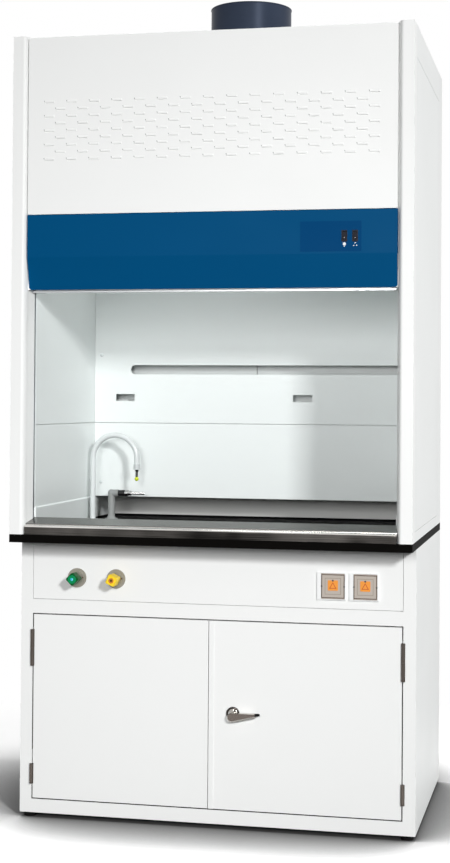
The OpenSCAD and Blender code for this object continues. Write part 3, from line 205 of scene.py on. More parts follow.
def softbox(name, at, aim, side, opening, power):
    """A square area lamp at one point, facing another, with a grid that narrows its light."""
    lamp = bpy.data.lights.new(name, "AREA")
    lamp.shape = "SQUARE"
    lamp.size = side
    lamp.spread = math.radians(opening)
    lamp.energy = power
    thing = bpy.data.objects.new(name, lamp)
    thing.location = at
    thing.rotation_euler = (aim - at).to_track_quat("-Z", "Y").to_euler()
    thing.visible_camera = False
    bpy.context.scene.collection.objects.link(thing)

for name, (at, aim, side, opening, power) in SOFTBOXES.items():
    softbox(name, Vector(at), Vector(aim), side, opening, power)
bpy.context.scene.view_settings.view_transform = "Standard"
print("softboxes", {name: row[4] for name, row in SOFTBOXES.items()})

# %% [markdown]
# ## Floor
# In the photograph the floor is as white as the background, and only the soft shadow under
# the cabinet shows. A shadow-only floor would leave no light to bounce up onto the doors.
# So the floor is a real matt sheet, brighter to the camera than to the light, and far
# from the hood it turns into the white of the background. Close to the base it darkens by how
# much of the sky the hood hides, which deepens the shadow at its foot. Metal that mirrors
# the floor and glass that shows it see what the camera sees.

# %% Lay the floor
FLOOR_HALF, FLOOR_DROP = 5.0, 0.5 * MM
FLOOR_SEEN, FLOOR_LIT = 3.1, 0.12
CONTACT_REACH, CONTACT_DEPTH, CONTACT_LEFT, CONTACT_RAYS = 0.52, 4.4, 0.03, 48
FADE_FROM, FADE_TO = 1.0, 1.9

floor_mesh = bpy.data.meshes.new("studio_floor")
floor_form = bmesh.new()
bmesh.ops.create_grid(floor_form, x_segments=8, y_segments=8, size=FLOOR_HALF)
bmesh.ops.translate(floor_form, verts=floor_form.verts, vec=(0, 0, -FLOOR_DROP))
floor_form.to_mesh(floor_mesh)
floor_form.free()
floor = bpy.data.objects.new("studio_floor", floor_mesh)
bpy.context.scene.collection.objects.link(floor)

floor_finish = bpy.data.materials.new("floor_white")
floor_finish.use_nodes = True
tree = floor_finish.node_tree
tree.nodes.clear()
contact = add(tree, "ShaderNodeAmbientOcclusion", {"Distance": CONTACT_REACH}, samples=CONTACT_RAYS)
near_white = add(tree, "ShaderNodeMapRange", {
    "Value": maths(tree, "POWER", contact.outputs["AO"], CONTACT_DEPTH),
    "To Min": FLOOR_SEEN * CONTACT_LEFT, "To Max": FLOOR_SEEN})
floor_seen = add(tree, "ShaderNodeBsdfDiffuse", {"Color": near_white.outputs["Result"]})
floor_lit = add(tree, "ShaderNodeBsdfDiffuse", {"Color": grey(FLOOR_LIT)})
floor_far = add(tree, "ShaderNodeEmission", {"Color": grey(1.0)})
place = add(tree, "ShaderNodeTexCoord").outputs["Object"]
distance = add(tree, "ShaderNodeVectorMath", {0: place}, operation="LENGTH")
fade = add(tree, "ShaderNodeMapRange", {
    "Value": distance.outputs["Value"], "From Min": FADE_FROM, "From Max": FADE_TO},
    interpolation_type="SMOOTHSTEP")
near_far = add(tree, "ShaderNodeMixShader", {
    0: fade.outputs["Result"], 1: floor_seen.outputs[0], 2: floor_far.outputs[0]})
by_sight = add(tree, "ShaderNodeMixShader", {
    0: in_sight(tree), 1: floor_lit.outputs[0], 2: near_far.outputs[0]})
add(tree, "ShaderNodeOutputMaterial", {0: by_sight.outputs[0]})
floor_mesh.materials.append(floor_finish)
floor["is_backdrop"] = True
print("floor", 2 * FLOOR_HALF, "m wide")

# %% [markdown]
# ## Shared surface effects
# Powder coat, moulded plastic, brushed metal and wiped laminate each have a fine relief and a
# broad, faint unevenness. Each effect is one node group with named inputs, placed in as many
# materials as need it. A group hands out only heights and masks, and the shader stays in
# the material, where its plain numbers are set on its own sockets.

# %% Helpers for node groups
def empty_group(name, inputs, outputs):
    """A shader node group with number inputs and number outputs, and its two end nodes."""
    group = bpy.data.node_groups.new(name, "ShaderNodeTree")
    for title, value in inputs.items():
        kind = "NodeSocketVector" if isinstance(value, tuple) else "NodeSocketFloat"
        socket = group.interface.new_socket(title, in_out="INPUT", socket_type=kind)
        socket.default_value = value
    for title in outputs:
        group.interface.new_socket(title, in_out="OUTPUT", socket_type="NodeSocketFloat")
    return group, group.nodes.new("NodeGroupInput"), group.nodes.new("NodeGroupOutput")

def object_place(tree):
    """The object's own coordinates."""
    return add(tree, "ShaderNodeTexCoord").outputs["Object"]

def noise(tree, place, scale, detail, roughness=0.5, distortion=0.0):
    """A noise over a place, at a scale that is a value or a socket."""
    return add(tree, "ShaderNodeTexNoise", {
        "Vector": place, "Scale": scale, "Detail": detail, "Roughness": roughness,
        "Distortion": distortion}).outputs[0]

print("group helpers ready")

# %% [markdown]
# **Powder coat.** Baked powder flows into a skin like orange peel, a millimetre or two from
# bump to bump, and its gloss wanders a little over a panel. Two noises are enough: a fine one
# for the relief and a broad one for the patches.

# %% Build the powder coat effect
coat_grain, given, result = empty_group(
    "coat_grain", {"Peel": 700.0, "Patch": 3.0}, ["Height", "Patches"])
place = object_place(coat_grain)
feed(coat_grain, result.inputs["Height"], noise(coat_grain, place, given.outputs["Peel"], 2.0))
feed(coat_grain, result.inputs["Patches"],
     noise(coat_grain, place, given.outputs["Patch"], 3.0, 0.6))
print("group", coat_grain.name)

# %% [markdown]
# **Brushed metal.** A belt leaves scratches that are long one way and fine the other. Noise
# looks like that when its coordinates are squeezed along the brushing direction, so the
# group takes the squeeze as a vector: a small number means long streaks along that axis.

# %% Build the brushed effect
brushed_grain, given, result = empty_group(
    "brushed_grain", {"Squeeze": (4.0, 900.0, 900.0), "Patch": 6.0}, ["Height", "Streaks"])
place = object_place(brushed_grain)
squeezed = add(brushed_grain, "ShaderNodeVectorMath", {0: place, 1: given.outputs["Squeeze"]},
               operation="MULTIPLY")
scratches = noise(brushed_grain, squeezed.outputs[0], 1.0, 3.0, 0.6)
broad = noise(brushed_grain, place, given.outputs["Patch"], 2.0)
feed(brushed_grain, result.inputs["Height"], scratches)
feed(brushed_grain, result.inputs["Streaks"], maths(brushed_grain, "MULTIPLY", scratches, broad))
print("group", brushed_grain.name)

# %% [markdown]
# **Wiped laminate.** A black worktop is never evenly black: a cloth leaves dull arcs, and
# the press plate leaves a fine pebble. The group warps a broad noise by itself for the
# arcs and gives a cell pattern for the pebble.

# %% Build the wiped effect
wiped_top, given, result = empty_group(
    "wiped_top", {"Pebble": 600.0, "Arcs": 5.0}, ["Height", "Smears"])
place = object_place(wiped_top)
cells = add(wiped_top, "ShaderNodeTexVoronoi", {"Vector": place, "Scale": given.outputs["Pebble"]})
feed(wiped_top, result.inputs["Height"], cells.outputs["Distance"])
feed(wiped_top, result.inputs["Smears"],
     noise(wiped_top, place, given.outputs["Arcs"], 5.0, 0.65, distortion=1.6))
print("group", wiped_top.name)

# %% [markdown]
# ## One recipe for most finishes
# A finish is two tones mixed by the broad mask, a roughness that follows the same mask, and
# a slight bump from the fine height. Metals add a plain metallic value. Writing the recipe
# once keeps each real finish down to one line that a painter could read.

# %% Write the recipe
REFRACTION = 1.5

def blank_material(name):
    """A material with only a Principled shader in it, its node tree and that shader."""
    material = bpy.data.materials.new(name)
    material.use_nodes = True
    tree = material.node_tree
    tree.nodes.clear()
    shader = add(tree, "ShaderNodeBsdfPrincipled", {"IOR": REFRACTION})
    add(tree, "ShaderNodeOutputMaterial", {0: shader.outputs[0]})
    return material, tree, shader

def stretch(tree, mask, low, high, first=0.3, last=0.7):
    """Stretches the part of a mask between first and last to run from low to high."""
    return add(tree, "ShaderNodeMapRange", {
        "Value": mask, "From Min": first, "From Max": last, "To Min": low,
        "To Max": high}).outputs["Result"]

def emboss(tree, height, relief, depth, shader):
    """Gives a shader a slight bump from a height: relief is a share, depth is in mm."""
    bump = add(tree, "ShaderNodeBump", {
        "Strength": relief, "Distance": depth * MM, "Height": height})
    feed(tree, shader.inputs["Normal"], bump.outputs[0])

def finish(name, tone, rough, effect=None, values=None, shade=0.03, relief=0.03, depth=0.2,
           gloss_swing=0.05, metallic=0.0, coat=0.0, coat_rough=0.1, specular=0.5):
    """A procedural material from one shared effect and a few plain numbers."""
    material, tree, shader = blank_material(name)
    grain = add(tree, "ShaderNodeGroup", values, node_tree=effect or coat_grain)
    height, mask = grain.outputs[0], grain.outputs[1]
    feed(tree, shader.inputs["Base Color"], mix(tree, mask, tone, dim(tone, shade)))
    feed(tree, shader.inputs["Roughness"], stretch(
        tree, mask, max(rough - gloss_swing, 0.02), min(rough + gloss_swing, 1.0)))
    emboss(tree, height, relief, depth, shader)
    for title, value in (("Metallic", metallic), ("Coat Weight", coat),
                         ("Coat Roughness", coat_rough), ("Specular IOR Level", specular)):
        shader.inputs[title].default_value = value
    return material

print("recipe ready")

# %% [markdown]
# ## White sheet metal
# The hood and the cabinet are folded steel under white powder. The front is a clean white,
# the sides and the cabinet are the same paint from other batches, a hair greyer, and the
# liner inside is a smooth board, cooler and a touch green.

# %% Mix the whites
whites = {
    "white_front": finish("white_front", paint(245, 246, 245), 0.42, relief=0.06, specular=0.3),
    "white_side": finish("white_side", paint(240, 242, 241), 0.45, relief=0.06, shade=0.02,
                         specular=0.3),
    "white_base": finish("white_base", paint(244, 245, 244), 0.45, relief=0.06, shade=0.02,
                         specular=0.3),
    "white_hidden": finish("white_hidden", paint(226, 227, 224), 0.6, relief=0.1),
    "liner": finish("liner", paint(234, 239, 238), 0.38, values={"Peel": 1200.0, "Patch": 2.0},
                    relief=0.02, shade=0.03),
}
print("whites", list(whites))

# %% [markdown]
# ## Colours on the front
# The fascia is deep blue paint with a soft gloss. The control overlay is a polyester film
# in a slightly darker blue with a matt pebble. The switches are black moulded plastic.

# %% Mix the front colours
front_colours = {
    "fascia_blue": finish("fascia_blue", paint(0, 77, 124), 0.42, relief=0.08, shade=0.08,
                          specular=0.03),
    "overlay_blue": finish("overlay_blue", paint(0, 67, 116), 0.5, values={"Peel": 1500.0},
                           relief=0.08, shade=0.05, specular=0.03),
    "rocker_black": finish("rocker_black", paint(10, 12, 26), 0.35, values={"Peel": 2500.0},
                           relief=0.08, shade=0.2, specular=0.12),
}
print("front colours", list(front_colours))

# %% [markdown]
# ## Worktop, sill and collar
# The worktop is black laminate, which mirrors the chamber at a low angle. The sill is
# brushed stainless steel with its grain along the hood. The duct collar is rolled from
# dark sheet with a blue cast, brushed round its height.

# %% Mix the worktop metals
heavy_finishes = {
    "worktop_black": finish("worktop_black", paint(18, 18, 19), 0.42, wiped_top,
                            relief=0.04, shade=0.5, gloss_swing=0.08, specular=0.01),
    "sill_steel": finish("sill_steel", paint(124, 123, 120), 0.3, brushed_grain,
                         {"Squeeze": (5.0, 1100.0, 1100.0)}, relief=0.1, shade=0.25,
                         gloss_swing=0.08, metallic=1.0),
    "collar_dark": finish("collar_dark", paint(56, 65, 82), 0.45, brushed_grain,
                          {"Squeeze": (60.0, 60.0, 900.0), "Patch": 9.0}, relief=0.08,
                          shade=0.45, gloss_swing=0.1, metallic=0.1, specular=0.06),
    "aluminium": finish("aluminium", paint(196, 198, 200), 0.34, brushed_grain,
                        {"Squeeze": (6.0, 1200.0, 1200.0)}, relief=0.08, shade=0.15,
                        metallic=1.0),
    "steel": finish("steel", paint(170, 171, 173), 0.32, brushed_grain,
                    {"Squeeze": (900.0, 900.0, 20.0)}, relief=0.08, shade=0.2, metallic=1.0),
    "latch_chrome": finish("latch_chrome", paint(118, 111, 105), 0.24, brushed_grain,
                           {"Squeeze": (30.0, 900.0, 900.0)}, relief=0.06, shade=0.4,
                           metallic=1.0),
    "hinge_dark": finish("hinge_dark", paint(82, 75, 70), 0.36, brushed_grain,
                         {"Squeeze": (900.0, 900.0, 30.0)}, relief=0.08, shade=0.3,
                         metallic=0.8),
    "pipe_copper": finish("pipe_copper", paint(196, 128, 92), 0.3, brushed_grain,
                          {"Squeeze": (200.0, 200.0, 200.0)}, relief=0.06, shade=0.35,
                          metallic=1.0),
}
print("heavy finishes", list(heavy_finishes))

# %% [markdown]
# The edge of the worktop is sealed matt black, while its top keeps a soft gloss.
# The front of the sill stands upright, and its dark tone with bright streaks is a painted
# reflection; the roll above it carries a painted highlight, and the slope behind the roll is
# grey again. These could be separate pieces, but each border is a level line on one sheet, so
# masks on the height change tone, roughness and gloss there.

# %% Give the worktop and the sill their bands
def height_band(material, low, high, tone, other, rough, specular):
    """Between two heights, a finish turns to two other tones in its own streaks."""
    tree = material.node_tree
    shader = [n for n in tree.nodes if n.type == "BSDF_PRINCIPLED"][0]
    grain = [n for n in tree.nodes if n.type == "GROUP"][0]
    height = add(tree, "ShaderNodeSeparateXYZ", {0: object_place(tree)}).outputs["Z"]
    inside = maths(tree, "MULTIPLY", maths(tree, "GREATER_THAN", height, low),
                   maths(tree, "LESS_THAN", height, high))
    inner = mix(tree, stretch(tree, grain.outputs[1], 0.0, 1.0, 0.15, 0.4), tone, other)
    for title, value, kind in (("Base Color", inner, "RGBA"), ("Roughness", rough, "FLOAT"),
                               ("Specular IOR Level", specular, "FLOAT")):
        socket = shader.inputs[title]
        outer = socket.links[0].from_socket if socket.links else socket.default_value
        feed(tree, socket, mix(tree, inside, outer, value, kind))

UNDER_ALL = -1.0
WORKTOP_EDGE = 863.5 * MM
sill_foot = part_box("sill")[0].z
SILL_BEND, SILL_ROLL = sill_foot + 22.5 * MM, sill_foot + 29 * MM
for slot, low, high, tone, other, rough, specular in (
        ("worktop_black", UNDER_ALL, WORKTOP_EDGE, paint(2, 2, 2), paint(7, 6, 5), 0.6, 0.02),
        # painted dark reflection with bright streaks on the front of the sill
        ("sill_steel", UNDER_ALL, SILL_BEND, paint(20, 19, 18), paint(88, 85, 82), 0.38, 0.5),
        # painted highlight along the roll of the sill
        ("sill_steel", SILL_BEND, SILL_ROLL, paint(206, 204, 200), paint(236, 234, 230), 0.2, 0.5)):
    height_band(heavy_finishes[slot], low, high, tone, other, rough, specular)
print("bands end at", [round(v, 4) for v in (WORKTOP_EDGE, SILL_BEND, SILL_ROLL)])

# %% [markdown]
# ## Fittings
# Tap and gas outlet are coated in light grey epoxy. The valve knobs are dyed plastic. The
# rosettes behind them are cast and painted a warm grey. Covers, feet, shoes and plugs are
# plain moulded plastic in their own tones.

# %% Mix the fittings
fittings = {
    "tap_grey": finish("tap_grey", paint(218, 223, 223), 0.28, relief=0.05, shade=0.05,
                       coat=0.2, coat_rough=0.15),
    "gas_grey": finish("gas_grey", paint(150, 153, 152), 0.34, relief=0.06, shade=0.12),
    "gas_metal": finish("gas_metal", paint(200, 200, 198), 0.22, brushed_grain,
                        {"Squeeze": (20.0, 1200.0, 1200.0)}, relief=0.06, shade=0.2,
                        metallic=1.0),
    "knob_green": finish("knob_green", paint(0, 92, 38), 0.26, values={"Peel": 1800.0},
                         relief=0.06, shade=0.3, specular=0.12),
    "knob_yellow": finish("knob_yellow", paint(255, 220, 48), 0.34, values={"Peel": 1800.0},
                          relief=0.06, shade=0.08, specular=0.25),
    "rose_metal": finish("rose_metal", paint(150, 146, 134), 0.38, values={"Peel": 1400.0},
                         relief=0.1, shade=0.12, metallic=0.35),
    "socket_white": finish("socket_white", paint(246, 247, 247), 0.3, values={"Peel": 2500.0},
                           relief=0.03, shade=0.02),
    "socket_dark": finish("socket_dark", paint(70, 64, 62), 0.45, values={"Peel": 2500.0},
                          relief=0.06, shade=0.15),
    "lid_grey": finish("lid_grey", paint(186, 176, 166), 0.36, values={"Peel": 2500.0},
                       relief=0.05, shade=0.06),
    "foot_black": finish("foot_black", paint(14, 13, 12), 0.65, values={"Peel": 1200.0},
                         relief=0.15, shade=0.3, specular=0.1),
    "shoe_black": finish("shoe_black", paint(26, 26, 27), 0.5, values={"Peel": 1500.0},
                         relief=0.1, shade=0.3),
    "lamp_tube": finish("lamp_tube", paint(244, 244, 240), 0.25, relief=0.01, shade=0.02),
}
print("fittings", list(fittings))

# %% [markdown]
# ## Glass and lamp cover
# The sash is a pane of float glass, clear and faintly green at its edge. The cover under
# the lamp is frosted. Glass keeps a plain transmission value, and only its
# roughness and its bump follow a mask, as wiping marks do.

# %% Mix the clear materials
MARK_DEPTH = 0.05

def clear(name, tone, rough, swing, relief):
    """Glass or clear plastic with faint wiping marks."""
    material, tree, shader = blank_material(name)
    marks = add(tree, "ShaderNodeGroup", {"Pebble": 90.0, "Arcs": 4.0}, node_tree=wiped_top)
    smears = marks.outputs["Smears"]
    feed(tree, shader.inputs["Roughness"], stretch(tree, smears, rough, rough + swing))
    emboss(tree, smears, relief, MARK_DEPTH, shader)
    shader.inputs["Base Color"].default_value = tone
    shader.inputs["Transmission Weight"].default_value = 1.0
    return material

clears = {
    "glass": clear("glass", paint(240, 250, 246), 0.0, 0.04, 0.05),
    "lamp_clear": clear("lamp_clear", paint(244, 246, 246), 0.35, 0.1, 0.2),
}
print("clear materials", list(clears))

# %% [markdown]
# ## Two fittings with more than one finish
# The nozzle of the tap is one turned piece, but its collar is coated like the pipe, its
# barbs are bare metal and the bead at its tip is lime plastic. The gas nozzle starts in a
# black sleeve. Both could be cut into pieces, yet the boundary is a plain plane each time,
# so a mask on one object coordinate does it with no new mesh.

# %% Mix the banded nozzles
BAND_SHADE, BAND_PEEL, BAND_RELIEF, BAND_DEPTH = 0.12, 1800.0, 0.05, 0.2

def banded(name, axis, bands):
    """A material in bands along one object axis: each band is (from, tone, rough, metallic)."""
    material, tree, shader = blank_material(name)
    along = add(tree, "ShaderNodeSeparateXYZ", {0: object_place(tree)}).outputs[axis]
    grain = add(tree, "ShaderNodeGroup", {"Peel": BAND_PEEL}, node_tree=coat_grain)
    levels = None
    for start, tone, rough, metallic in bands:
        shaded = mix(tree, grain.outputs["Patches"], tone, dim(tone, BAND_SHADE))
        if levels is None:
            levels = [shaded, rough, metallic]
            continue
        past = maths(tree, "GREATER_THAN", along, start)
        levels = [mix(tree, past, before, after, kind) for before, after, kind in zip(
            levels, (shaded, rough, metallic), ("RGBA", "FLOAT", "FLOAT"))]
    for title, level in zip(("Base Color", "Roughness", "Metallic"), levels):
        feed(tree, shader.inputs[title], level)
    emboss(tree, grain.outputs["Height"], BAND_RELIEF, BAND_DEPTH, shader)
    return material

tap_low, tap_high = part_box("tap_nozzle")
BEAD_TOP = tap_low.z + 14 * MM
COLLAR_FOOT = tap_high.z - 18 * MM
tap_tip = banded("tap_nozzle_finish", "Z", [
    (0.0, paint(206, 222, 40), 0.3, 0.0),
    (BEAD_TOP, paint(206, 206, 204), 0.22, 1.0),
    (COLLAR_FOOT, paint(206, 211, 211), 0.28, 0.0)])
SLEEVE_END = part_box("gas_nozzle")[0].x + 24 * MM
gas_tip = banded("gas_nozzle_finish", "X", [
    (0.0, paint(14, 14, 15), 0.4, 0.0),
    (SLEEVE_END, paint(206, 206, 204), 0.2, 1.0)])
print("bead ends at", round(BEAD_TOP, 4), "sleeve ends at", round(SLEEVE_END, 4))

# %% [markdown]
# ## Dress the CAD nodes
# The record says which slot each node belongs to. The node's own mesh stays as it is, and
# only the material in its slots changes.

# %% Put each finish on its nodes
finishes = {**whites, **front_colours, **heavy_finishes, **fittings, **clears}
own_finish = {"tap_nozzle": tap_tip, "gas_nozzle": gas_tip}

def dress(node, material):
    """Gives every material slot of a CAD node the same material."""
    thing = frame["nodes"][node]
    if not thing.material_slots:
        thing.data.materials.append(material)
    for place in thing.material_slots:
        place.material = material

for row in frame["record"]["subparts"]:
    dress(row["node"], own_finish.get(row["node"], finishes[row["material_slot"]]))

# %% [markdown]
# ## Mesh helpers
# The small pieces are plates cut to an outline, turned shapes, and fasteners. A plate is
# an outline in the front plane pushed to a depth. A turned shape is a
# profile of radius and height swept round an axis. Each helper returns a plain mesh whose
# place is in its points, and one more puts it in the scene on its body.

# %% Write the mesh helpers
def to_mesh(name, form, sharp=35):
    """Closes a bmesh into a mesh with outward normals, smooth except at sharp edges."""
    bmesh.ops.remove_doubles(form, verts=form.verts, dist=0.01 * MM)
    bmesh.ops.recalc_face_normals(form, faces=form.faces)
    for face in form.faces:
        face.smooth = True
    for edge in form.edges:
        if len(edge.link_faces) != 2 or edge.calc_face_angle(0) > math.radians(sharp):
            edge.smooth = False
    mesh = bpy.data.meshes.new(name)
    form.to_mesh(mesh)
    form.free()
    return mesh

def plate(form, outline, face_y, depth):
    """Adds a plate to a bmesh: an outline of (x, z) in mm, its front at face_y, that deep."""
    front = [form.verts.new((x * MM, face_y * MM, z * MM)) for x, z in outline]
    back = [form.verts.new((x * MM, (face_y + depth) * MM, z * MM)) for x, z in outline]
    form.faces.new(front)
    form.faces.new(list(reversed(back)))
    count = len(outline)
    for i in range(count):
        j = (i + 1) % count
        form.faces.new((front[i], back[i], back[j], front[j]))

def rounded(x0, x1, z0, z1, radius, steps=5):
    """The outline of a rectangle with round corners, in mm."""
    points = []
    for cx, cz, turn in ((x1 - radius, z1 - radius, 0), (x0 + radius, z1 - radius, 90),
                         (x0 + radius, z0 + radius, 180), (x1 - radius, z0 + radius, 270)):
        for i in range(steps + 1):
            angle = math.radians(turn + 90 * i / steps)
            points.append((cx + radius * math.cos(angle), cz + radius * math.sin(angle)))
    return points

def turned(form, profile, centre, axis, facets=32):
    """Sweeps a profile of (radius, height) in mm round an axis at a centre in mm."""
    axis = Vector(axis).normalized()
    side = axis.orthogonal().normalized()
    other = axis.cross(side)
    middle = Vector(centre)
    rings = []
    for radius, height in profile:
        if radius < 0.001:
            rings.append([form.verts.new((middle + axis * height) * MM)])
            continue
        ring = []
        for i in range(facets):
            angle = 2 * math.pi * i / facets
            out = side * math.cos(angle) + other * math.sin(angle)
            ring.append(form.verts.new((middle + axis * height + out * radius) * MM))
        rings.append(ring)
    for low, high in zip(rings, rings[1:]):
        for i in range(facets):
            j = (i + 1) % facets
            corners = [low[i % len(low)], low[j % len(low)], high[j % len(high)], high[i % len(high)]]
            corners = list(dict.fromkeys(corners))
            if len(corners) > 2:
                form.faces.new(corners)

def show(name, mesh, body, material):
    """Puts a finished mesh in the scene, on its body, with its finish."""
    mesh.materials.clear()
    mesh.materials.append(material)
    thing = bpy.data.objects.new(name, mesh)
    bpy.context.scene.collection.objects.link(thing)
    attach(thing, body)
    print(name, "rides on", body, "with", len(mesh.polygons), "faces")
    return thing

def skinned(form, rings):
    """Joins rings of points in mm, each as long as the next, and closes both ends."""
    made = [[form.verts.new(tuple(v * MM for v in point)) for point in ring] for ring in rings]
    form.faces.new(made[0])
    form.faces.new(list(reversed(made[-1])))
    for first, second in zip(made, made[1:]):
        for i in range(len(first)):
            j = (i + 1) % len(first)
            form.faces.new((first[i], second[i], second[j], first[j]))

def piece(name, form, body, material, sharp=35):
    """Closes a form into a mesh and shows it as one piece."""
    return show(name, to_mesh(name, form, sharp), body, material)

def middle(node):
    """The middle of a node's box from the front, as (x, z) in mm."""
    low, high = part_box(node)
    return (low.x + high.x) / 2 / MM, (low.z + high.z) / 2 / MM

print("mesh helpers ready")

# %% [markdown]
# ## A tree for fasteners
# Screws repeat, so Geometry Nodes set them: one head is built in the tree, a cone frustum
# with a cross cut out of it, and it is set on every point of a small guide mesh. Each guide point
# carries the direction its screw faces and its radius. The tree ends in real mesh with its
# finish set, because instances would be lost in the export.

# %% Build the fastener tree
def tree_with(name, sizes):
    """A geometry tree with number inputs, a geometry in and a geometry out."""
    made = bpy.data.node_groups.new(name, "GeometryNodeTree")
    made.interface.new_socket("Geometry", in_out="INPUT", socket_type="NodeSocketGeometry")
    for title, value in sizes.items():
        kind = "NodeSocketInt" if isinstance(value, int) else "NodeSocketFloat"
        socket = made.interface.new_socket(title, in_out="INPUT", socket_type=kind)
        socket.default_value = value
    made.interface.new_socket("Finish", in_out="INPUT", socket_type="NodeSocketMaterial")
    made.interface.new_socket("Geometry", in_out="OUTPUT", socket_type="NodeSocketGeometry")
    return made, made.nodes.new("NodeGroupInput"), made.nodes.new("NodeGroupOutput")

def attribute(made, title, kind):
    """Reads a named attribute of the guide points."""
    node = add(made, "GeometryNodeInputNamedAttribute", {"Name": title}, data_type=kind)
    return [s for s in node.outputs if s.name == "Attribute" and s.enabled][0]

def end_tree(made, given, result, geometry):
    """Closes a tree: its instances become real mesh, and the finish is set on it."""
    real = add(made, "GeometryNodeRealizeInstances", {0: geometry})
    coat = add(made, "GeometryNodeSetMaterial", {
        "Geometry": real.outputs[0], "Material": given.outputs["Finish"]})
    made.links.new(coat.outputs[0], result.inputs[0])

def set_on_points(made, given, result, mesh, instance, values=None):
    """Sets an instance on every point of a mesh, and closes the tree."""
    spots = add(made, "GeometryNodeMeshToPoints", {0: mesh})
    put = add(made, "GeometryNodeInstanceOnPoints", {
        "Points": spots.outputs[0], "Instance": instance, **(values or {})})
    end_tree(made, given, result, put.outputs[0])

def bake_tree(name, guide, made, values, material):
    """Runs a geometry tree on a guide mesh and returns the result as a plain mesh."""
    carrier = bpy.data.objects.new(name + "_guide", guide)
    bpy.context.scene.collection.objects.link(carrier)
    step = carrier.modifiers.new("tree", "NODES")
    step.node_group = made
    wanted = {**values, "Finish": material}
    for item in made.interface.items_tree:
        if item.item_type == "SOCKET" and item.in_out == "INPUT" and item.name in wanted:
            step[item.identifier] = wanted[item.name]
    bpy.context.view_layer.update()
    depsgraph = bpy.context.evaluated_depsgraph_get()
    mesh = bpy.data.meshes.new_from_object(carrier.evaluated_get(depsgraph))
    mesh.name = name
    carrier.modifiers.remove(step)
    bpy.data.objects.remove(carrier)
    return mesh

SLOT_LENGTH = 1.1    # of the cross in a head, as a share of the head's radius
fasteners, given, result = tree_with(
    "fasteners", {"Facets": 20, "Height": 0.35, "Crown": 0.72, "Slot width": 0.22})
head = add(fasteners, "GeometryNodeMeshCone", {
    "Vertices": given.outputs["Facets"], "Radius Top": given.outputs["Crown"],
    "Radius Bottom": 1.0, "Depth": given.outputs["Height"]})
cut = add(fasteners, "GeometryNodeMeshBoolean", {0: head.outputs["Mesh"]}, operation="DIFFERENCE")
rise = add(fasteners, "ShaderNodeCombineXYZ", {2: given.outputs["Height"]})
for length_axis in (0, 1):
    size = add(fasteners, "ShaderNodeCombineXYZ", {
        length_axis: SLOT_LENGTH, 1 - length_axis: given.outputs["Slot width"],
        2: given.outputs["Height"]})
    blade = add(fasteners, "GeometryNodeMeshCube", {"Size": size.outputs[0]})
    lift = add(fasteners, "GeometryNodeTransform", {
        "Geometry": blade.outputs["Mesh"], "Translation": rise.outputs[0]})
    fasteners.links.new(lift.outputs[0], cut.inputs[1])
face_out = add(fasteners, "FunctionNodeAlignRotationToVector", {
    "Vector": attribute(fasteners, "direction", "FLOAT_VECTOR")}, axis="Z")
set_on_points(fasteners, given, result, given.outputs["Geometry"], cut.outputs[0], {
    "Rotation": face_out.outputs[0], "Scale": attribute(fasteners, "size", "FLOAT")})
print("tree", fasteners.name, "with", len(fasteners.nodes), "nodes")

def set_fasteners(name, places, body, material, values=None):
    """Screws at places, each (point in mm, direction, radius in mm), as one piece."""
    guide = bpy.data.meshes.new(name + "_points")
    guide.from_pydata([[v * MM for v in point] for point, _, _ in places], [], [])
    guide.attributes.new("direction", "FLOAT_VECTOR", "POINT")
    guide.attributes.new("size", "FLOAT", "POINT")
    aim, size = guide.attributes["direction"], guide.attributes["size"]
    for i, (_, direction, radius) in enumerate(places):
        aim.data[i].vector = direction
        size.data[i].value = radius * MM
    show(name, bake_tree(name, guide, fasteners, values or {}, material), body, material)

# %% [markdown]
# ## Screws on the roof and the collar
# The collar is screwed to the roof through its flange, eight screws on a circle, and the
# roof sheet is held down along its edges. Seen from the front they hide behind the louvred
# panel, but the hood is looked at from above too.

# %% Set the roof screws
collar_low, collar_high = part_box("duct_collar")
roof_low, roof_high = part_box("roof")
collar_x = (collar_low.x + collar_high.x) / 2 / MM
collar_y = (collar_low.y + collar_high.y) / 2 / MM
FLANGE_T, FLANGE_RING, SCREW_R = 3, 143, 4.5
flange_top = roof_high.z / MM + FLANGE_T
up_axis = (0, 0, 1)
collar_screws = []
for i in range(8):
    angle = math.radians(22.5 + 45 * i)
    collar_screws.append(((collar_x + FLANGE_RING * math.cos(angle),
                           collar_y + FLANGE_RING * math.sin(angle), flange_top + 0.4),
                          up_axis, SCREW_R))
roof_screws = []
EDGE_IN, ROOF_COLUMNS = 12, 7
for i in range(ROOF_COLUMNS):
    share = i / (ROOF_COLUMNS - 1)
    x = (roof_low.x / MM + EDGE_IN) * (1 - share) + (roof_high.x / MM - EDGE_IN) * share
    for y in (roof_low.y / MM + EDGE_IN, roof_high.y / MM - EDGE_IN):
        roof_screws.append(((x, y, roof_high.z / MM + 0.4), up_axis, SCREW_R))
set_fasteners("roof_fasteners", collar_screws + roof_screws, "frame", finishes["steel"])

# %% [markdown]
# ## Caps on the baffle
# The lower and the upper baffle hang on spacers, and a low round cap covers each screw.
# In the photograph they are faint grey dots near the corners. A cap is a turned dome, set
# one by one on the four corners of the field.

# %% Turn the baffle caps
baffle_low, baffle_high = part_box("baffle_low")
CAP_X, CAP_ROWS, CAP_R, CAP_H = 524, (989, 1417), 6, 2.4
cap_face = baffle_low.y / MM
dome = [(CAP_R, 0.2), (CAP_R, -0.5), (CAP_R * 0.86, -CAP_H * 0.62), (CAP_R * 0.5, -CAP_H * 0.93),
        (0, -CAP_H)]
form = bmesh.new()
for x in (-CAP_X, CAP_X):
    for z in CAP_ROWS:
        turned(form, dome, (x, cap_face, z), (0, 1, 0), 24)
show("baffle_caps", to_mesh("baffle_caps", form), "frame", finishes["tap_grey"])

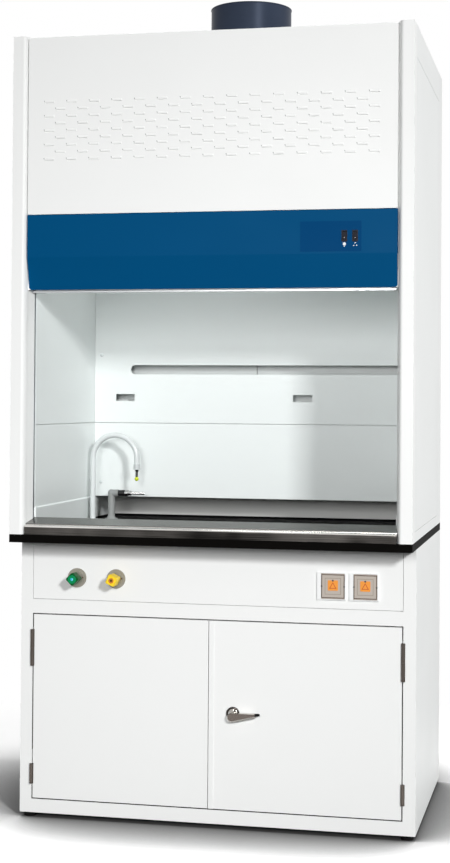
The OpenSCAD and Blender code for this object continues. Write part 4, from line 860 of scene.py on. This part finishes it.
# %% [markdown]
# ## The rolled rim of the collar
# The upper edge of a duct collar is rolled over a wire, so that the duct slides on without
# catching. A torus would do, but the bead is a profile that follows a path, which is what
# Curve to Mesh is for: the path is the rim and the profile is the wire.

# %% Roll the rim
BEAD_WIRE, COLLAR_R, BEAD_IN = 2.2, 131, 0.6
bead_tree, given, result = tree_with(
    "rim_bead", {"Ring radius": 0.1, "Wire radius": 0.002, "Height": 0.0, "Facets": 96})
ring = add(bead_tree, "GeometryNodeCurvePrimitiveCircle", {
    "Resolution": given.outputs["Facets"], "Radius": given.outputs["Ring radius"]})
wire = add(bead_tree, "GeometryNodeCurvePrimitiveCircle", {
    "Resolution": 10, "Radius": given.outputs["Wire radius"]})
sweep = add(bead_tree, "GeometryNodeCurveToMesh", {
    "Curve": ring.outputs["Curve"], "Profile Curve": wire.outputs["Curve"]})
lift = add(bead_tree, "ShaderNodeCombineXYZ", {
    0: collar_x * MM, 1: collar_y * MM, 2: given.outputs["Height"]})
shift = add(bead_tree, "GeometryNodeTransform", {
    "Geometry": sweep.outputs[0], "Translation": lift.outputs[0]})
end_tree(bead_tree, given, result, shift.outputs[0])
bead_mesh = bake_tree("collar_bead", bpy.data.meshes.new("rim"), bead_tree, {
    "Ring radius": (COLLAR_R - BEAD_IN) * MM, "Wire radius": BEAD_WIRE * MM,
    "Height": collar_high.z - BEAD_WIRE * MM}, finishes["collar_dark"])
for face in bead_mesh.polygons:
    face.use_smooth = True
show("collar_bead", bead_mesh, "frame", finishes["collar_dark"])

# %% [markdown]
# ## Fleece behind the louvres
# The louvres of the front panel look pale, not black, because a white filter fleece hangs
# right behind the sheet. It is one thin plate with round corners, a little larger than the
# field of louvres.

# %% Hang the fleece
PANEL_FACE = -436.5
FLEECE_HALF, FLEECE_LOW, FLEECE_HIGH, FLEECE_R = 520, 1960, 2180, 12
FLEECE_BEHIND, FLEECE_T = 2.2, 1.2
fleece_white = finish("fleece_white", paint(246, 247, 246), 0.8, values={"Peel": 900.0},
                      relief=0.3, shade=0.04, specular=0.1)
form = bmesh.new()
plate(form, rounded(-FLEECE_HALF, FLEECE_HALF, FLEECE_LOW, FLEECE_HIGH, FLEECE_R),
      PANEL_FACE + FLEECE_BEHIND, FLEECE_T)
piece("louvre_fleece", form, "frame", fleece_white)

# %% [markdown]
# Each louvre is a gill, pressed out of the sheet over a short cut. The shade at its left end
# is painted: a small grey comma on the sheet. There are over a hundred, in rows that stand
# staggered, so Geometry Nodes set one comma on every place of a grid of points.

# %% Paint the shade at the left ends of the gills
GILL_COLUMNS, GILL_ROWS, GILL_L, GILL_Z = 15, 9, 29, 2066
GILL_PITCH, ROW_PITCH = 69.5, 21.4
COMMA = [(-3.4, 4.2), (-2.0, 4.6), (0.6, 2.2), (4.0, 0.2), (9.0, -0.9), (9.0, -1.9), (3.0, -1.7),
         (-0.6, -0.6), (-2.6, 1.6)]    # (x, z) in mm about the end of a gill
COMMA_PROUD, COMMA_T = 0.12, 0.4
form = bmesh.new()
plate(form, COMMA, -COMMA_PROUD, COMMA_T)
comma_mesh = to_mesh("gill_comma", form)
gills, given, result = tree_with(
    "gill_end_shades", {"Columns": GILL_COLUMNS, "Rows": GILL_ROWS, "Pitch": GILL_PITCH * MM,
                  "Row pitch": ROW_PITCH * MM, "Start x": 0.0, "Start z": 0.0, "Depth": 0.0})
columns = given.outputs["Columns"]
spots = add(gills, "GeometryNodeMeshLine", {
    "Offset": (0, 0, 0), "Count": maths(gills, "MULTIPLY", columns, given.outputs["Rows"])},
    mode="OFFSET")
index = add(gills, "GeometryNodeInputIndex").outputs[0]
row = maths(gills, "FLOOR", maths(gills, "DIVIDE", index, columns))
column = maths(gills, "SUBTRACT", index, maths(gills, "MULTIPLY", row, columns))
odd_row = maths(gills, "MODULO", row, 2.0)
pitches = maths(gills, "ADD", column, maths(gills, "MULTIPLY", odd_row, 0.5))
along = maths(gills, "MULTIPLY", given.outputs["Pitch"], pitches)
rise = maths(gills, "MULTIPLY", row, given.outputs["Row pitch"])
place = add(gills, "ShaderNodeCombineXYZ", {
    0: maths(gills, "ADD", given.outputs["Start x"], along), 1: given.outputs["Depth"],
    2: maths(gills, "ADD", given.outputs["Start z"], rise)})
moved = add(gills, "GeometryNodeSetPosition", {
    "Geometry": spots.outputs[0], "Position": place.outputs[0]})
last = maths(gills, "GREATER_THAN", column, maths(gills, "SUBTRACT", columns, 1.5))
kept = add(gills, "GeometryNodeDeleteGeometry", {
    "Geometry": moved.outputs[0], "Selection": maths(gills, "MULTIPLY", odd_row, last)},
    domain="POINT")
set_on_points(gills, given, result, kept.outputs[0], given.outputs["Geometry"])
gill_painted_shade = finish("gill_painted_shade", paint(176, 178, 177), 0.6, relief=0.02, shade=0.04, specular=0.1)
gill_mesh = bake_tree("gill_end_shades", comma_mesh, gills, {
    "Start x": (-(GILL_COLUMNS - 1) / 2 * GILL_PITCH - GILL_L / 2) * MM,
    "Start z": (GILL_Z - (GILL_ROWS - 1) / 2 * ROW_PITCH) * MM, "Depth": PANEL_FACE * MM},
    gill_painted_shade)
show("gill_end_shades", gill_mesh, "frame", gill_painted_shade)

# %% [markdown]
# ## Painted shade at the steps of the socket lids
# Each lid is stepped, and its steps get painted shade: a dark line runs round its rim, and a
# second, finer one round its raised middle. Both are thin frames that lie on the lid and turn with it.

# %% Draw the painted shade at the steps
step_shade_dark = finish("step_shade_dark", paint(96, 82, 72), 0.5, relief=0.02, shade=0.08, specular=0.2)
step_shade_soft = finish("step_shade_soft", paint(150, 138, 127), 0.5, relief=0.02, shade=0.06, specular=0.2)
STEP_T, STEP_SUNK = 0.3, 0.05
STEPS = (("_rim_shade", 2.2, 2.6, step_shade_dark), ("_step_shade", 13, 1.3, step_shade_soft))

def square_frame(form, low, high, inset, width):
    """Adds a square frame that lies on the front of a box, inset from its edges."""
    x0, x1 = low.x / MM + inset, high.x / MM - inset
    z0, z1 = low.z / MM + inset, high.z / MM - inset
    sides = ((x0, x1, z0, z0 + width), (x0, x1, z1 - width, z1),
             (x0, x0 + width, z0 + width, z1 - width), (x1 - width, x1, z0 + width, z1 - width))
    for a, b, c, d in sides:
        plate(form, [(a, c), (b, c), (b, d), (a, d)], low.y / MM - STEP_T + STEP_SUNK, STEP_T)

for lid, body in (("lid_a", "lid_left"), ("lid_b", "lid_right")):
    for ending, inset, width, material in STEPS:
        form = bmesh.new()
        square_frame(form, *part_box(lid), inset, width)
        piece(lid + ending, form, body, material)

# %% [markdown]
# ## Painted shade in the door gaps
# A dark strip stands in the gap between the doors and their frame as painted shade, and makes
# the gap look like a drawn line. Each lip is a thin strip on the frame's side of the gap, a little
# behind the face of the doors. The lips at the sides leave room for the hinges.

# %% Set the dark strips of painted shade in the gaps
door_low, door_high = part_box("door_l")
GAP, GAP_LEFT = 3.5, 0.1
LIP, LIP_R, LIP_SET, LIP_DEEP = 1.5, 0.4, 1.6, 12
HINGE_SPANS = (96, 205, 465, 575)    # the side lips stop short of the four hinges
gap_shade_black = finish("gap_shade_black", paint(26, 23, 21), 0.6, values={"Peel": 1200.0}, relief=0.1,
                    shade=0.2, specular=0.1)
x0, x1 = door_low.x / MM - GAP + GAP_LEFT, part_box("door_r")[1].x / MM + GAP - GAP_LEFT
z0, z1 = door_low.z / MM - GAP + GAP_LEFT, door_high.z / MM + GAP - GAP_LEFT
heights = (z0 + LIP,) + HINGE_SPANS + (z1 - LIP,)
lips = [(x, x + LIP, low, high) for low, high in zip(heights[::2], heights[1::2])
        for x in (x0, x1 - LIP)]
lips += [(x0, x1, low, low + LIP) for low in (z0, z1 - LIP)]
form = bmesh.new()
for a, b, c, d in lips:
    plate(form, rounded(a, b, c, d, LIP_R, 2), door_low.y / MM + LIP_SET, LIP_DEEP)
print("gap shade strips:", len(lips))
piece("door_gap_shade", form, "frame", gap_shade_black)

# %% [markdown]
# ## Lower corners of the fascia
# The folded fascia runs straight down to its lower edge, and only its last corner is round.
# The solid under it is cut back at a slant there, so each end gets the missing wedge. It could
# be a whole new fascia, but two thin wedges that lie flush on the leaning sheet do the same.

# %% Cut the corner wedges
fascia_low, fascia_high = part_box("fascia")
FASCIA_BEND, FASCIA_LEAN, FASCIA_SHEET = 1689, 18, 2
CORNER_R, CORNER_TAPER, CUT_BACK, CORNER_STEPS = 8, 1, 11, 6
WEDGE_PROUD = 0.05
edge_x, edge_z = fascia_high.x / MM, fascia_low.z / MM
corner_x, corner_z = edge_x - CORNER_TAPER - CORNER_R, edge_z + CORNER_R
wedge = [(edge_x, FASCIA_BEND)]
for i in range(CORNER_STEPS + 1):
    angle = math.radians(-90 * i / CORNER_STEPS)
    wedge.append((corner_x + CORNER_R * math.cos(angle), corner_z + CORNER_R * math.sin(angle)))
wedge += [(edge_x - CUT_BACK - CORNER_R - 1, edge_z), (edge_x - CUT_BACK - 1.5, corner_z + 1),
          (edge_x - 1.2, FASCIA_BEND)]

def leaning(side, depth):
    """The wedge at one end of the fascia, at a depth in mm behind its leaning face."""
    return [(side * x, fascia_low.y / MM + FASCIA_LEAN * (FASCIA_BEND - z) / (FASCIA_BEND - edge_z)
             + depth, z) for x, z in wedge]

form = bmesh.new()
for side in (-1, 1):
    skinned(form, [leaning(side, -WEDGE_PROUD), leaning(side, FASCIA_SHEET)])
piece("fascia_corners", form, "frame", finishes["fascia_blue"])

# %% [markdown]
# ## The board behind the baffle
# Air leaves the chamber through the slots of the baffle and rises behind it. What one sees
# through a slot is the rear liner, two pale boards with a seam in the middle. Without them
# the slots would look into the dark of the outer shell.

# %% Stand the rear boards
board_foot, board_head = baffle_low.z / MM + 2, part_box("liner_r")[1].z / MM - 2
PLENUM_DEPTH, BOARD_T, BOARD_R, SEAM = 56, 5, 1.5, 2
form = bmesh.new()
for side in (-1, 1):
    near, far = sorted((side * SEAM / 2, side * baffle_high.x / MM))
    plate(form, rounded(near, far, board_foot, board_head, BOARD_R, 3),
          baffle_high.y / MM + PLENUM_DEPTH, BOARD_T)
piece("rear_boards", form, "frame", finishes["liner"])

# %% [markdown]
# ## Pictograms on the control overlay
# Under the two switches stand a lamp and a fan, printed in white. They are generic signs,
# so they are drawn from scratch: a bulb is a round glass over a cap with two rings, and a fan is three
# blades, which Geometry Nodes turn about the middle. Each is a very thin plate
# on the film.

# %% Print the pictograms
SIGN_Z, SIGN_R, SIGN_PROUD, PRINT_DEPTH = 1714.5, 4.4, 0.12, 0.16
CAP_HALF, CAP_RING_HALF = 1.7, 0.45
lamp_x, fan_x = [middle(key)[0] for key in ("rocker_a", "rocker_b")]
print_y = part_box("overlay")[0].y / MM - SIGN_PROUD
white_print = finish("print_white", paint(244, 247, 248), 0.5, values={"Peel": 3000.0},
                     relief=0.02)

form = bmesh.new()
bulb = []
for i in range(21):
    angle = math.radians(-50 + 280 * i / 20)
    bulb.append((lamp_x + SIGN_R * math.cos(angle), SIGN_Z + 1.8 + SIGN_R * math.sin(angle)))
bulb += [(lamp_x - CAP_HALF, SIGN_Z - 3.2), (lamp_x + CAP_HALF, SIGN_Z - 3.2)]
plate(form, bulb, print_y, PRINT_DEPTH)
for z in (SIGN_Z - 4.7, SIGN_Z - 6.1):
    plate(form, rounded(lamp_x - CAP_HALF, lamp_x + CAP_HALF, z - CAP_RING_HALF,
                        z + CAP_RING_HALF, 0.4, 3), print_y, PRINT_DEPTH)
piece("lamp_sign", form, "frame", white_print)

# %% [markdown]
# The fan needs one blade. The tree sets copies of it on as many points, all in the middle, and
# turns each by its share of a full turn, so the number of blades is one number.

# %% Turn the fan blades
blade = []
for i in range(17):
    angle = math.radians(-100 + 200 * i / 16)
    narrowing = 0.75 + 0.25 * math.cos(angle)
    blade.append((1.9 * math.sin(angle) * narrowing, 4.4 + 2.4 * math.cos(angle)))
blade += [(-0.5, 0.9), (0.5, 0.9)]
form = bmesh.new()
plate(form, blade, 0, PRINT_DEPTH)
blade_mesh = to_mesh("fan_blade", form)

fan_tree, given, result = tree_with("fan_ring", {"Blades": 3})
blades = given.outputs["Blades"]
turns = add(fan_tree, "GeometryNodeMeshLine", {"Offset": (0, 0, 0), "Count": blades},
            mode="OFFSET")
order = add(fan_tree, "GeometryNodeInputIndex").outputs[0]
turn = maths(fan_tree, "MULTIPLY", order, maths(fan_tree, "DIVIDE", 2 * math.pi, blades))
spin = add(fan_tree, "ShaderNodeCombineXYZ", {1: turn})
set_on_points(fan_tree, given, result, turns.outputs[0], given.outputs["Geometry"],
              {"Rotation": spin.outputs[0]})
fan_mesh = bake_tree("fan_sign", blade_mesh, fan_tree, {"Blades": 3}, white_print)
fan_mesh.transform(Matrix.Translation(Vector((fan_x, print_y, SIGN_Z - 0.6)) * MM))
show("fan_sign", fan_mesh, "frame", white_print)

# %% [markdown]
# ## Dots on the rockers
# Each rocker carries two tiny marks that say which half is pressed. The face of a rocker is
# tilted at rest, so the dots are small turned domes that stand a little into it.

# %% Set the dots
dot_finish = finish("dot_pale", paint(206, 196, 196), 0.4, values={"Peel": 3000.0}, relief=0.02)
DOT_R, DOT_UP = 1.15, 5.2
ROCKER_AXIS_Y, ROCKER_R, ROCKER_TILT = -435.2, 3.4, math.radians(6)
DOT_DOME = [(DOT_R, 0.5), (DOT_R, -0.05), (DOT_R * 0.6, -0.22), (0, -0.28)]
for name, body in (("rocker_a", "switch_a"), ("rocker_b", "switch_b")):
    x, z = middle(name)
    form = bmesh.new()
    for up in (-DOT_UP, DOT_UP):
        face = ROCKER_AXIS_Y - ROCKER_R * math.cos(ROCKER_TILT) + up * math.tan(ROCKER_TILT)
        turned(form, DOT_DOME, (x, face, z + up), (0, 1, 0), 16)
    piece("dots_" + name, form, body, dot_finish)

# %% [markdown]
# ## Tags on the socket lids
# An orange square is snapped into the middle of each lid, with a plain triangle moulded on
# it and a small dark catch above. The lid swings up, so its tag, triangle and catches ride
# on the lid.

# %% Make the lid tags
tag_orange = finish("tag_orange", paint(240, 152, 44), 0.36, values={"Peel": 2500.0}, relief=0.04)
tag_lines = finish("tag_lines", paint(206, 92, 22), 0.4, values={"Peel": 2500.0}, relief=0.04)
TAG_HALF, TAG_UP, TAG_T, TAG_STEP = 15, 2.5, 1.6, 1.6
LINE_HALF, LINE_T = 1.1, 0.9
CATCH_IN, CATCH_HALF = 3.4, 2.2

def square(cx, cz, half, radius):
    """The outline of a square with round corners about a centre, in mm."""
    return rounded(cx - half, cx + half, cz - half, cz + half, radius)

for name, body, side in (("lid_a", "lid_left", "left"), ("lid_b", "lid_right", "right")):
    low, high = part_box(name)
    cx, cz = middle(name)
    cz += TAG_UP
    face = low.y / MM
    form = bmesh.new()
    plate(form, square(cx, cz, TAG_HALF, 2.2), face - TAG_T + 0.6, TAG_T)
    plate(form, square(cx, cz, TAG_HALF - TAG_STEP, 1.8), face - TAG_T, 1.0)
    piece("tag_" + side, form, body, tag_orange)
    form = bmesh.new()
    corners = [Vector((cx - 9, cz - 8)), Vector((cx + 9, cz - 8)), Vector((cx, cz + 8))]
    for start, end in zip(corners, corners[1:] + corners[:1]):
        run = (end - start).normalized()
        out = Vector((run.y, -run.x)) * LINE_HALF
        a, b = start - run * LINE_HALF, end + run * LINE_HALF
        plate(form, [tuple(a + out), tuple(b + out), tuple(b - out), tuple(a - out)],
              face - TAG_T - 0.4, LINE_T)
    piece("triangle_" + side, form, body, tag_lines)
    form = bmesh.new()
    plate(form, rounded(cx - 2.6, cx + 2.6, cz + TAG_HALF - 3.4, cz + TAG_HALF + 1.6, 1.2),
          face - TAG_T - 0.3, 2.0)
    for x in (low.x / MM + CATCH_IN, high.x / MM - CATCH_IN):
        plate(form, rounded(x - CATCH_HALF, x + CATCH_HALF, cz - 5.5, cz - 0.5, 1.2), face - 0.8, 1.6)
    piece("catches_" + side, form, body, finishes["socket_dark"])

# %% [markdown]
# ## Grips of the valve knobs
# Seen closely, each knob is a square block with round corners and a bevelled face. The water
# knob stands on its corner and the gas knob is a little askew. The solids have a plainer
# grip, so these blocks take their place. A block is one outline, copied at several depths and
# insets and skinned from ring to ring.

# %% Mould the knob grips
KNOB_HALF, KNOB_CORNER, KNOB_DEPTH = 15.0, 5.5, 38
STEM_R, STEM_SUNK, LEAST_CORNER = 5, 1.0, 1.2
for name, node, body, slot, turn in (
        ("water_grip", "knob_water", "water_knob", "knob_green", 45),
        ("gas_grip", "knob_gas", "gas_knob", "knob_yellow", 25)):
    low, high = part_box(node)
    cx, cz = middle(node)
    front, rear = low.y / MM, low.y / MM + KNOB_DEPTH
    cosine, sine = math.cos(math.radians(turn)), math.sin(math.radians(turn))
    rings = []
    for inset, y in ((1.2, rear), (0, rear - 1.2), (0, front + 2.6), (0.5, front + 1.2),
                     (1.7, front), (4.6, front), (5.2, front + 0.7)):
        half = KNOB_HALF - inset
        outline = rounded(-half, half, -half, half, max(KNOB_CORNER - inset, LEAST_CORNER), 6)
        rings.append([(cx + x * cosine + z * sine, y, cz - x * sine + z * cosine)
                      for x, z in outline])
    form = bmesh.new()
    skinned(form, rings)
    stem_l = high.y / MM - rear
    turned(form, [(0, -STEM_SUNK), (STEM_R, -STEM_SUNK), (STEM_R, stem_l), (0, stem_l)],
           (cx, rear, cz), (0, 1, 0), 20)
    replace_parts(piece(name, form, body, finishes[slot], 30), node)

# %% [markdown]
# ## Index marks on the valve knobs
# Both knobs say what they open. The water knob has a blue button set in a paler green
# disc, and the gas knob a dark screw in a raised ring. They are turned shapes
# on the face of the knob. One small screw at the right holds each rosette to the strip.

# %% Turn the index marks
water_x, valve_z = middle("knob_water")
gas_x = middle("knob_gas")[0]
knob_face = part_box("knob_water")[0].y / MM
rosette_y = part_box("valve_roses")[0].y / MM
TOWARDS_USER = (0, -1, 0)
cyan_button = finish("button_cyan", paint(64, 190, 226), 0.25, values={"Peel": 3000.0},
                     relief=0.02)
green_disc = finish("disc_green", paint(6, 140, 84), 0.3, values={"Peel": 2500.0}, relief=0.03,
                    specular=0.1)
ring_amber = finish("ring_amber", paint(214, 132, 40), 0.3, values={"Peel": 2500.0}, relief=0.03)
screw_dark = finish("screw_dark", paint(92, 62, 30), 0.3, values={"Peel": 2500.0}, relief=0.03,
                    metallic=0.6)
MARKS = (    # name, place of its knob, profile of (radius, height), facets, body, slot, finish
    ("water_disc", water_x, [(12.8, -0.6), (12.8, 0.3), (11.8, 1.0), (9.4, 1.0), (8.8, 0.4), (0, 0.4)],
     32, "water_knob", "knob_green", green_disc),
    ("water_button", water_x, [(4.4, 0.2), (4.4, 1.0), (3.4, 1.8), (1.8, 2.2), (0, 2.3)],
     24, "water_knob", "knob_green", cyan_button),
    ("gas_ring", gas_x, [(8.0, -0.6), (8.0, 0.5), (7.2, 1.2), (5.8, 1.2), (5.2, 0.5), (4.2, 0.2),
                         (4.2, -0.6)],
     32, "gas_knob", "knob_yellow", ring_amber),
)
for name, x, profile, facets, body, slot, material in MARKS:
    form = bmesh.new()
    turned(form, profile, (x, knob_face, valve_z), TOWARDS_USER, facets)
    piece(name, form, body, material)
SCREW_SUNK = 0.3
set_fasteners("gas_screw", [((gas_x, knob_face - SCREW_SUNK, valve_z), TOWARDS_USER, 3.9)],
              "gas_knob", screw_dark, {"Height": 0.3, "Slot width": 0.3})
ROSETTE_SCREW_X, ROSETTE_SCREW_Z, ROSETTE_SCREW_R = 19.2, 1.5, 2.2
set_fasteners("rosette_screws", [((x + ROSETTE_SCREW_X, rosette_y - SCREW_SUNK,
                                   valve_z + ROSETTE_SCREW_Z), TOWARDS_USER, ROSETTE_SCREW_R)
                                 for x in (water_x, gas_x)], "frame", screw_dark)

# %% [markdown]
# ## Latch
# The latch is a wedge-shaped lever over a round chromed rosette. The lever is widest at its
# root and has a bevel along its lower edge. The solids have its plain outline, so a skinned
# lever takes the place of theirs: the outline of the face, the wider outline behind the bevel,
# and the back. A mask on the depth gives the face a painted dark reflection and the bevel a
# painted highlight.

# %% Forge the lever
lever_low, lever_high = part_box("latch_lever")
LEVER_TOP, LEVER_END, ROOT_X = 346.3, 130.5, 60
BEVEL_DEEP, FACE_SKIN = 4.6, 0.15
lever_face, lever_back = lever_low.y / MM, lever_high.y / MM

def lever_outline(root_z, root_r, end_x, top_z, end_z):
    """A wedge of (x, z) in mm: a round root at the left and a narrow end at the right."""
    points = [(end_x, top_z), (end_x, end_z)]
    for i in range(15):
        angle = math.radians(-78 - 192 * i / 14)
        points.append((ROOT_X + root_r * math.cos(angle), root_z + root_r * math.sin(angle)))
    return points

face_line = lever_outline(334.3, 11.5, LEVER_END - 0.6, LEVER_TOP - 0.5, 340.0)
wide_line = lever_outline(332.3, 14.0, LEVER_END, LEVER_TOP, 334.4)
form = bmesh.new()
skinned(form, [[(x, lever_face, z) for x, z in face_line],
               [(x, lever_face + BEVEL_DEEP, z) for x, z in wide_line],
               [(x, lever_back, z) for x, z in wide_line]])
lever_painted_reflections = banded("lever_painted_reflections", "Y", [
    (0.0, paint(104, 96, 91), 0.26, 1.0),
    ((lever_face + FACE_SKIN) * MM, paint(206, 202, 196), 0.22, 1.0)])
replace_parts(piece("lever_wedge", form, "latch", lever_painted_reflections, 25), "latch_lever")
print("lever", [round(v / MM, 1) for v in (*lever_low, *lever_high)])

# %% [markdown]
# The rosette carries the spindle to the left of its middle and a key cylinder at its upper
# right. Its rim wears a painted dark reflection and its face a brighter, mottled painted
# highlight, so rim and face are two turned pieces. The lever ends in a slim black rubber tip,
# pulled over the metal like a thimble. Tip and rosette ride on different bodies, because the
# lever turns and the door keeps its rosette.

# %% Turn the rosette and the tip
rose_low, rose_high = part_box("latch_rose")
ROSETTE_X, ROSETTE_Z, ROSETTE_R = 61, 342, 20
door_face, rosette_face = rose_high.y / MM, rose_low.y / MM
out = rosette_face - door_face
dark_painted_reflection = finish("dark_painted_reflection", paint(58, 54, 51), 0.3, brushed_grain,
                  {"Squeeze": (300.0, 300.0, 300.0)}, relief=0.06, shade=0.3, metallic=1.0)
face_painted_highlight = finish("face_painted_highlight", paint(176, 172, 167), 0.24, brushed_grain,
                     {"Squeeze": (160.0, 160.0, 160.0), "Patch": 60.0}, relief=0.1, shade=0.6,
                     metallic=1.0)
form = bmesh.new()
turned(form, [(14.5, 0), (ROSETTE_R, 0), (ROSETTE_R, -out - 2.4), (ROSETTE_R - 1.4, -out - 0.6),
              (16.6, -out), (15.6, -out - 0.8), (15.2, -out - 2.0), (14.5, -out - 2.0), (14.5, 0)],
       (ROSETTE_X, door_face, ROSETTE_Z), TOWARDS_USER, 48)
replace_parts(piece("rosette_rim", form, "door_right", dark_painted_reflection), "latch_rose")
form = bmesh.new()
turned(form, [(0, 0), (14.9, 0), (14.9, -out - 2.2), (13.0, -out - 0.9), (7.0, -out - 0.3),
              (0, -out - 0.2)], (ROSETTE_X, door_face, ROSETTE_Z), TOWARDS_USER, 48)
piece("rosette_face", form, "door_right", face_painted_highlight)
# The key cylinder wears the same painted dark reflection as the rim.
KEY_X, KEY_Z, KEY_WAY_HALF, KEY_WAY_UP = ROSETTE_X + 6.5, ROSETTE_Z + 9.5, 0.5, 2.3
form = bmesh.new()
turned(form, [(0, -1.0), (3.6, -1.0), (3.6, -0.2), (3.0, 0), (0, 0)],
       (KEY_X, rosette_face, KEY_Z), TOWARDS_USER, 24)
plate(form, rounded(KEY_X - KEY_WAY_HALF, KEY_X + KEY_WAY_HALF, KEY_Z - KEY_WAY_UP,
                    KEY_Z + KEY_WAY_UP, 0.4, 3), rosette_face - 0.15, 0.5)
piece("key_cylinder", form, "door_right", dark_painted_reflection)
rubber = finish("tip_rubber", paint(8, 8, 9), 0.55, values={"Peel": 1500.0}, relief=0.15,
                specular=0.1)
TIP_END, TIP_Z, TIP_FORWARD = 144.6, 344.4, 1
form = bmesh.new()
turned(form, [(0, 0), (2.0, -0.4), (3.2, -1.8), (3.8, -4.0), (4.1, -9.0), (4.3, -15.0),
              (3.6, -15.6), (0, -15.6)],
       (TIP_END, (lever_face + lever_back) / 2 - TIP_FORWARD, TIP_Z), (1, 0, 0.1), 24)
piece("lever_tip", form, "latch", rubber)

# %% [markdown]
# ## Grip of the sash
# The handle under the glass is an extrusion with fine ribs, so that gloved fingers hold it. The
# ribs repeat down its face, and Geometry Nodes lay them out as a line of bars.

# %% Lay the grip ribs
handle_low, handle_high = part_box("sash_handle")
FIRST_RIB, RIB_SHORT = 7, 20
ribs, given, result = tree_with(
    "grip_ribs", {"Count": 5, "Pitch": 0.003, "Length": 1.0, "Radius": 0.0009})
pitch = add(ribs, "ShaderNodeCombineXYZ", {2: given.outputs["Pitch"]})
start = add(ribs, "ShaderNodeCombineXYZ", {1: handle_low.y, 2: handle_low.z + FIRST_RIB * MM})
line = add(ribs, "GeometryNodeMeshLine", {
    "Offset": pitch.outputs[0], "Count": given.outputs["Count"],
    "Start Location": start.outputs[0]}, mode="OFFSET")
bar = add(ribs, "GeometryNodeMeshCylinder", {
    "Vertices": 10, "Radius": given.outputs["Radius"], "Depth": given.outputs["Length"]})
set_on_points(ribs, given, result, line.outputs[0], bar.outputs["Mesh"],
              {"Rotation": (0, math.pi / 2, 0)})
rib_mesh = bake_tree("sash_grip", bpy.data.meshes.new("grip"), ribs, {
    "Length": handle_high.x - handle_low.x - RIB_SHORT * MM}, finishes["aluminium"])
show("sash_grip", rib_mesh, "sash", finishes["aluminium"])

# %% [markdown]
# ## Size and finish
# Before the last line the lesson prints the box of the dressed hood, in millimetres. It should
# agree with the box the CAD model had when it was loaded to a fraction of a millimetre,
# because no piece may stand out past the solids.

# %% Print the box of the dressed hood
low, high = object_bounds()
print("visual box in mm", [round(v / MM, 1) for v in (*low, *high)])
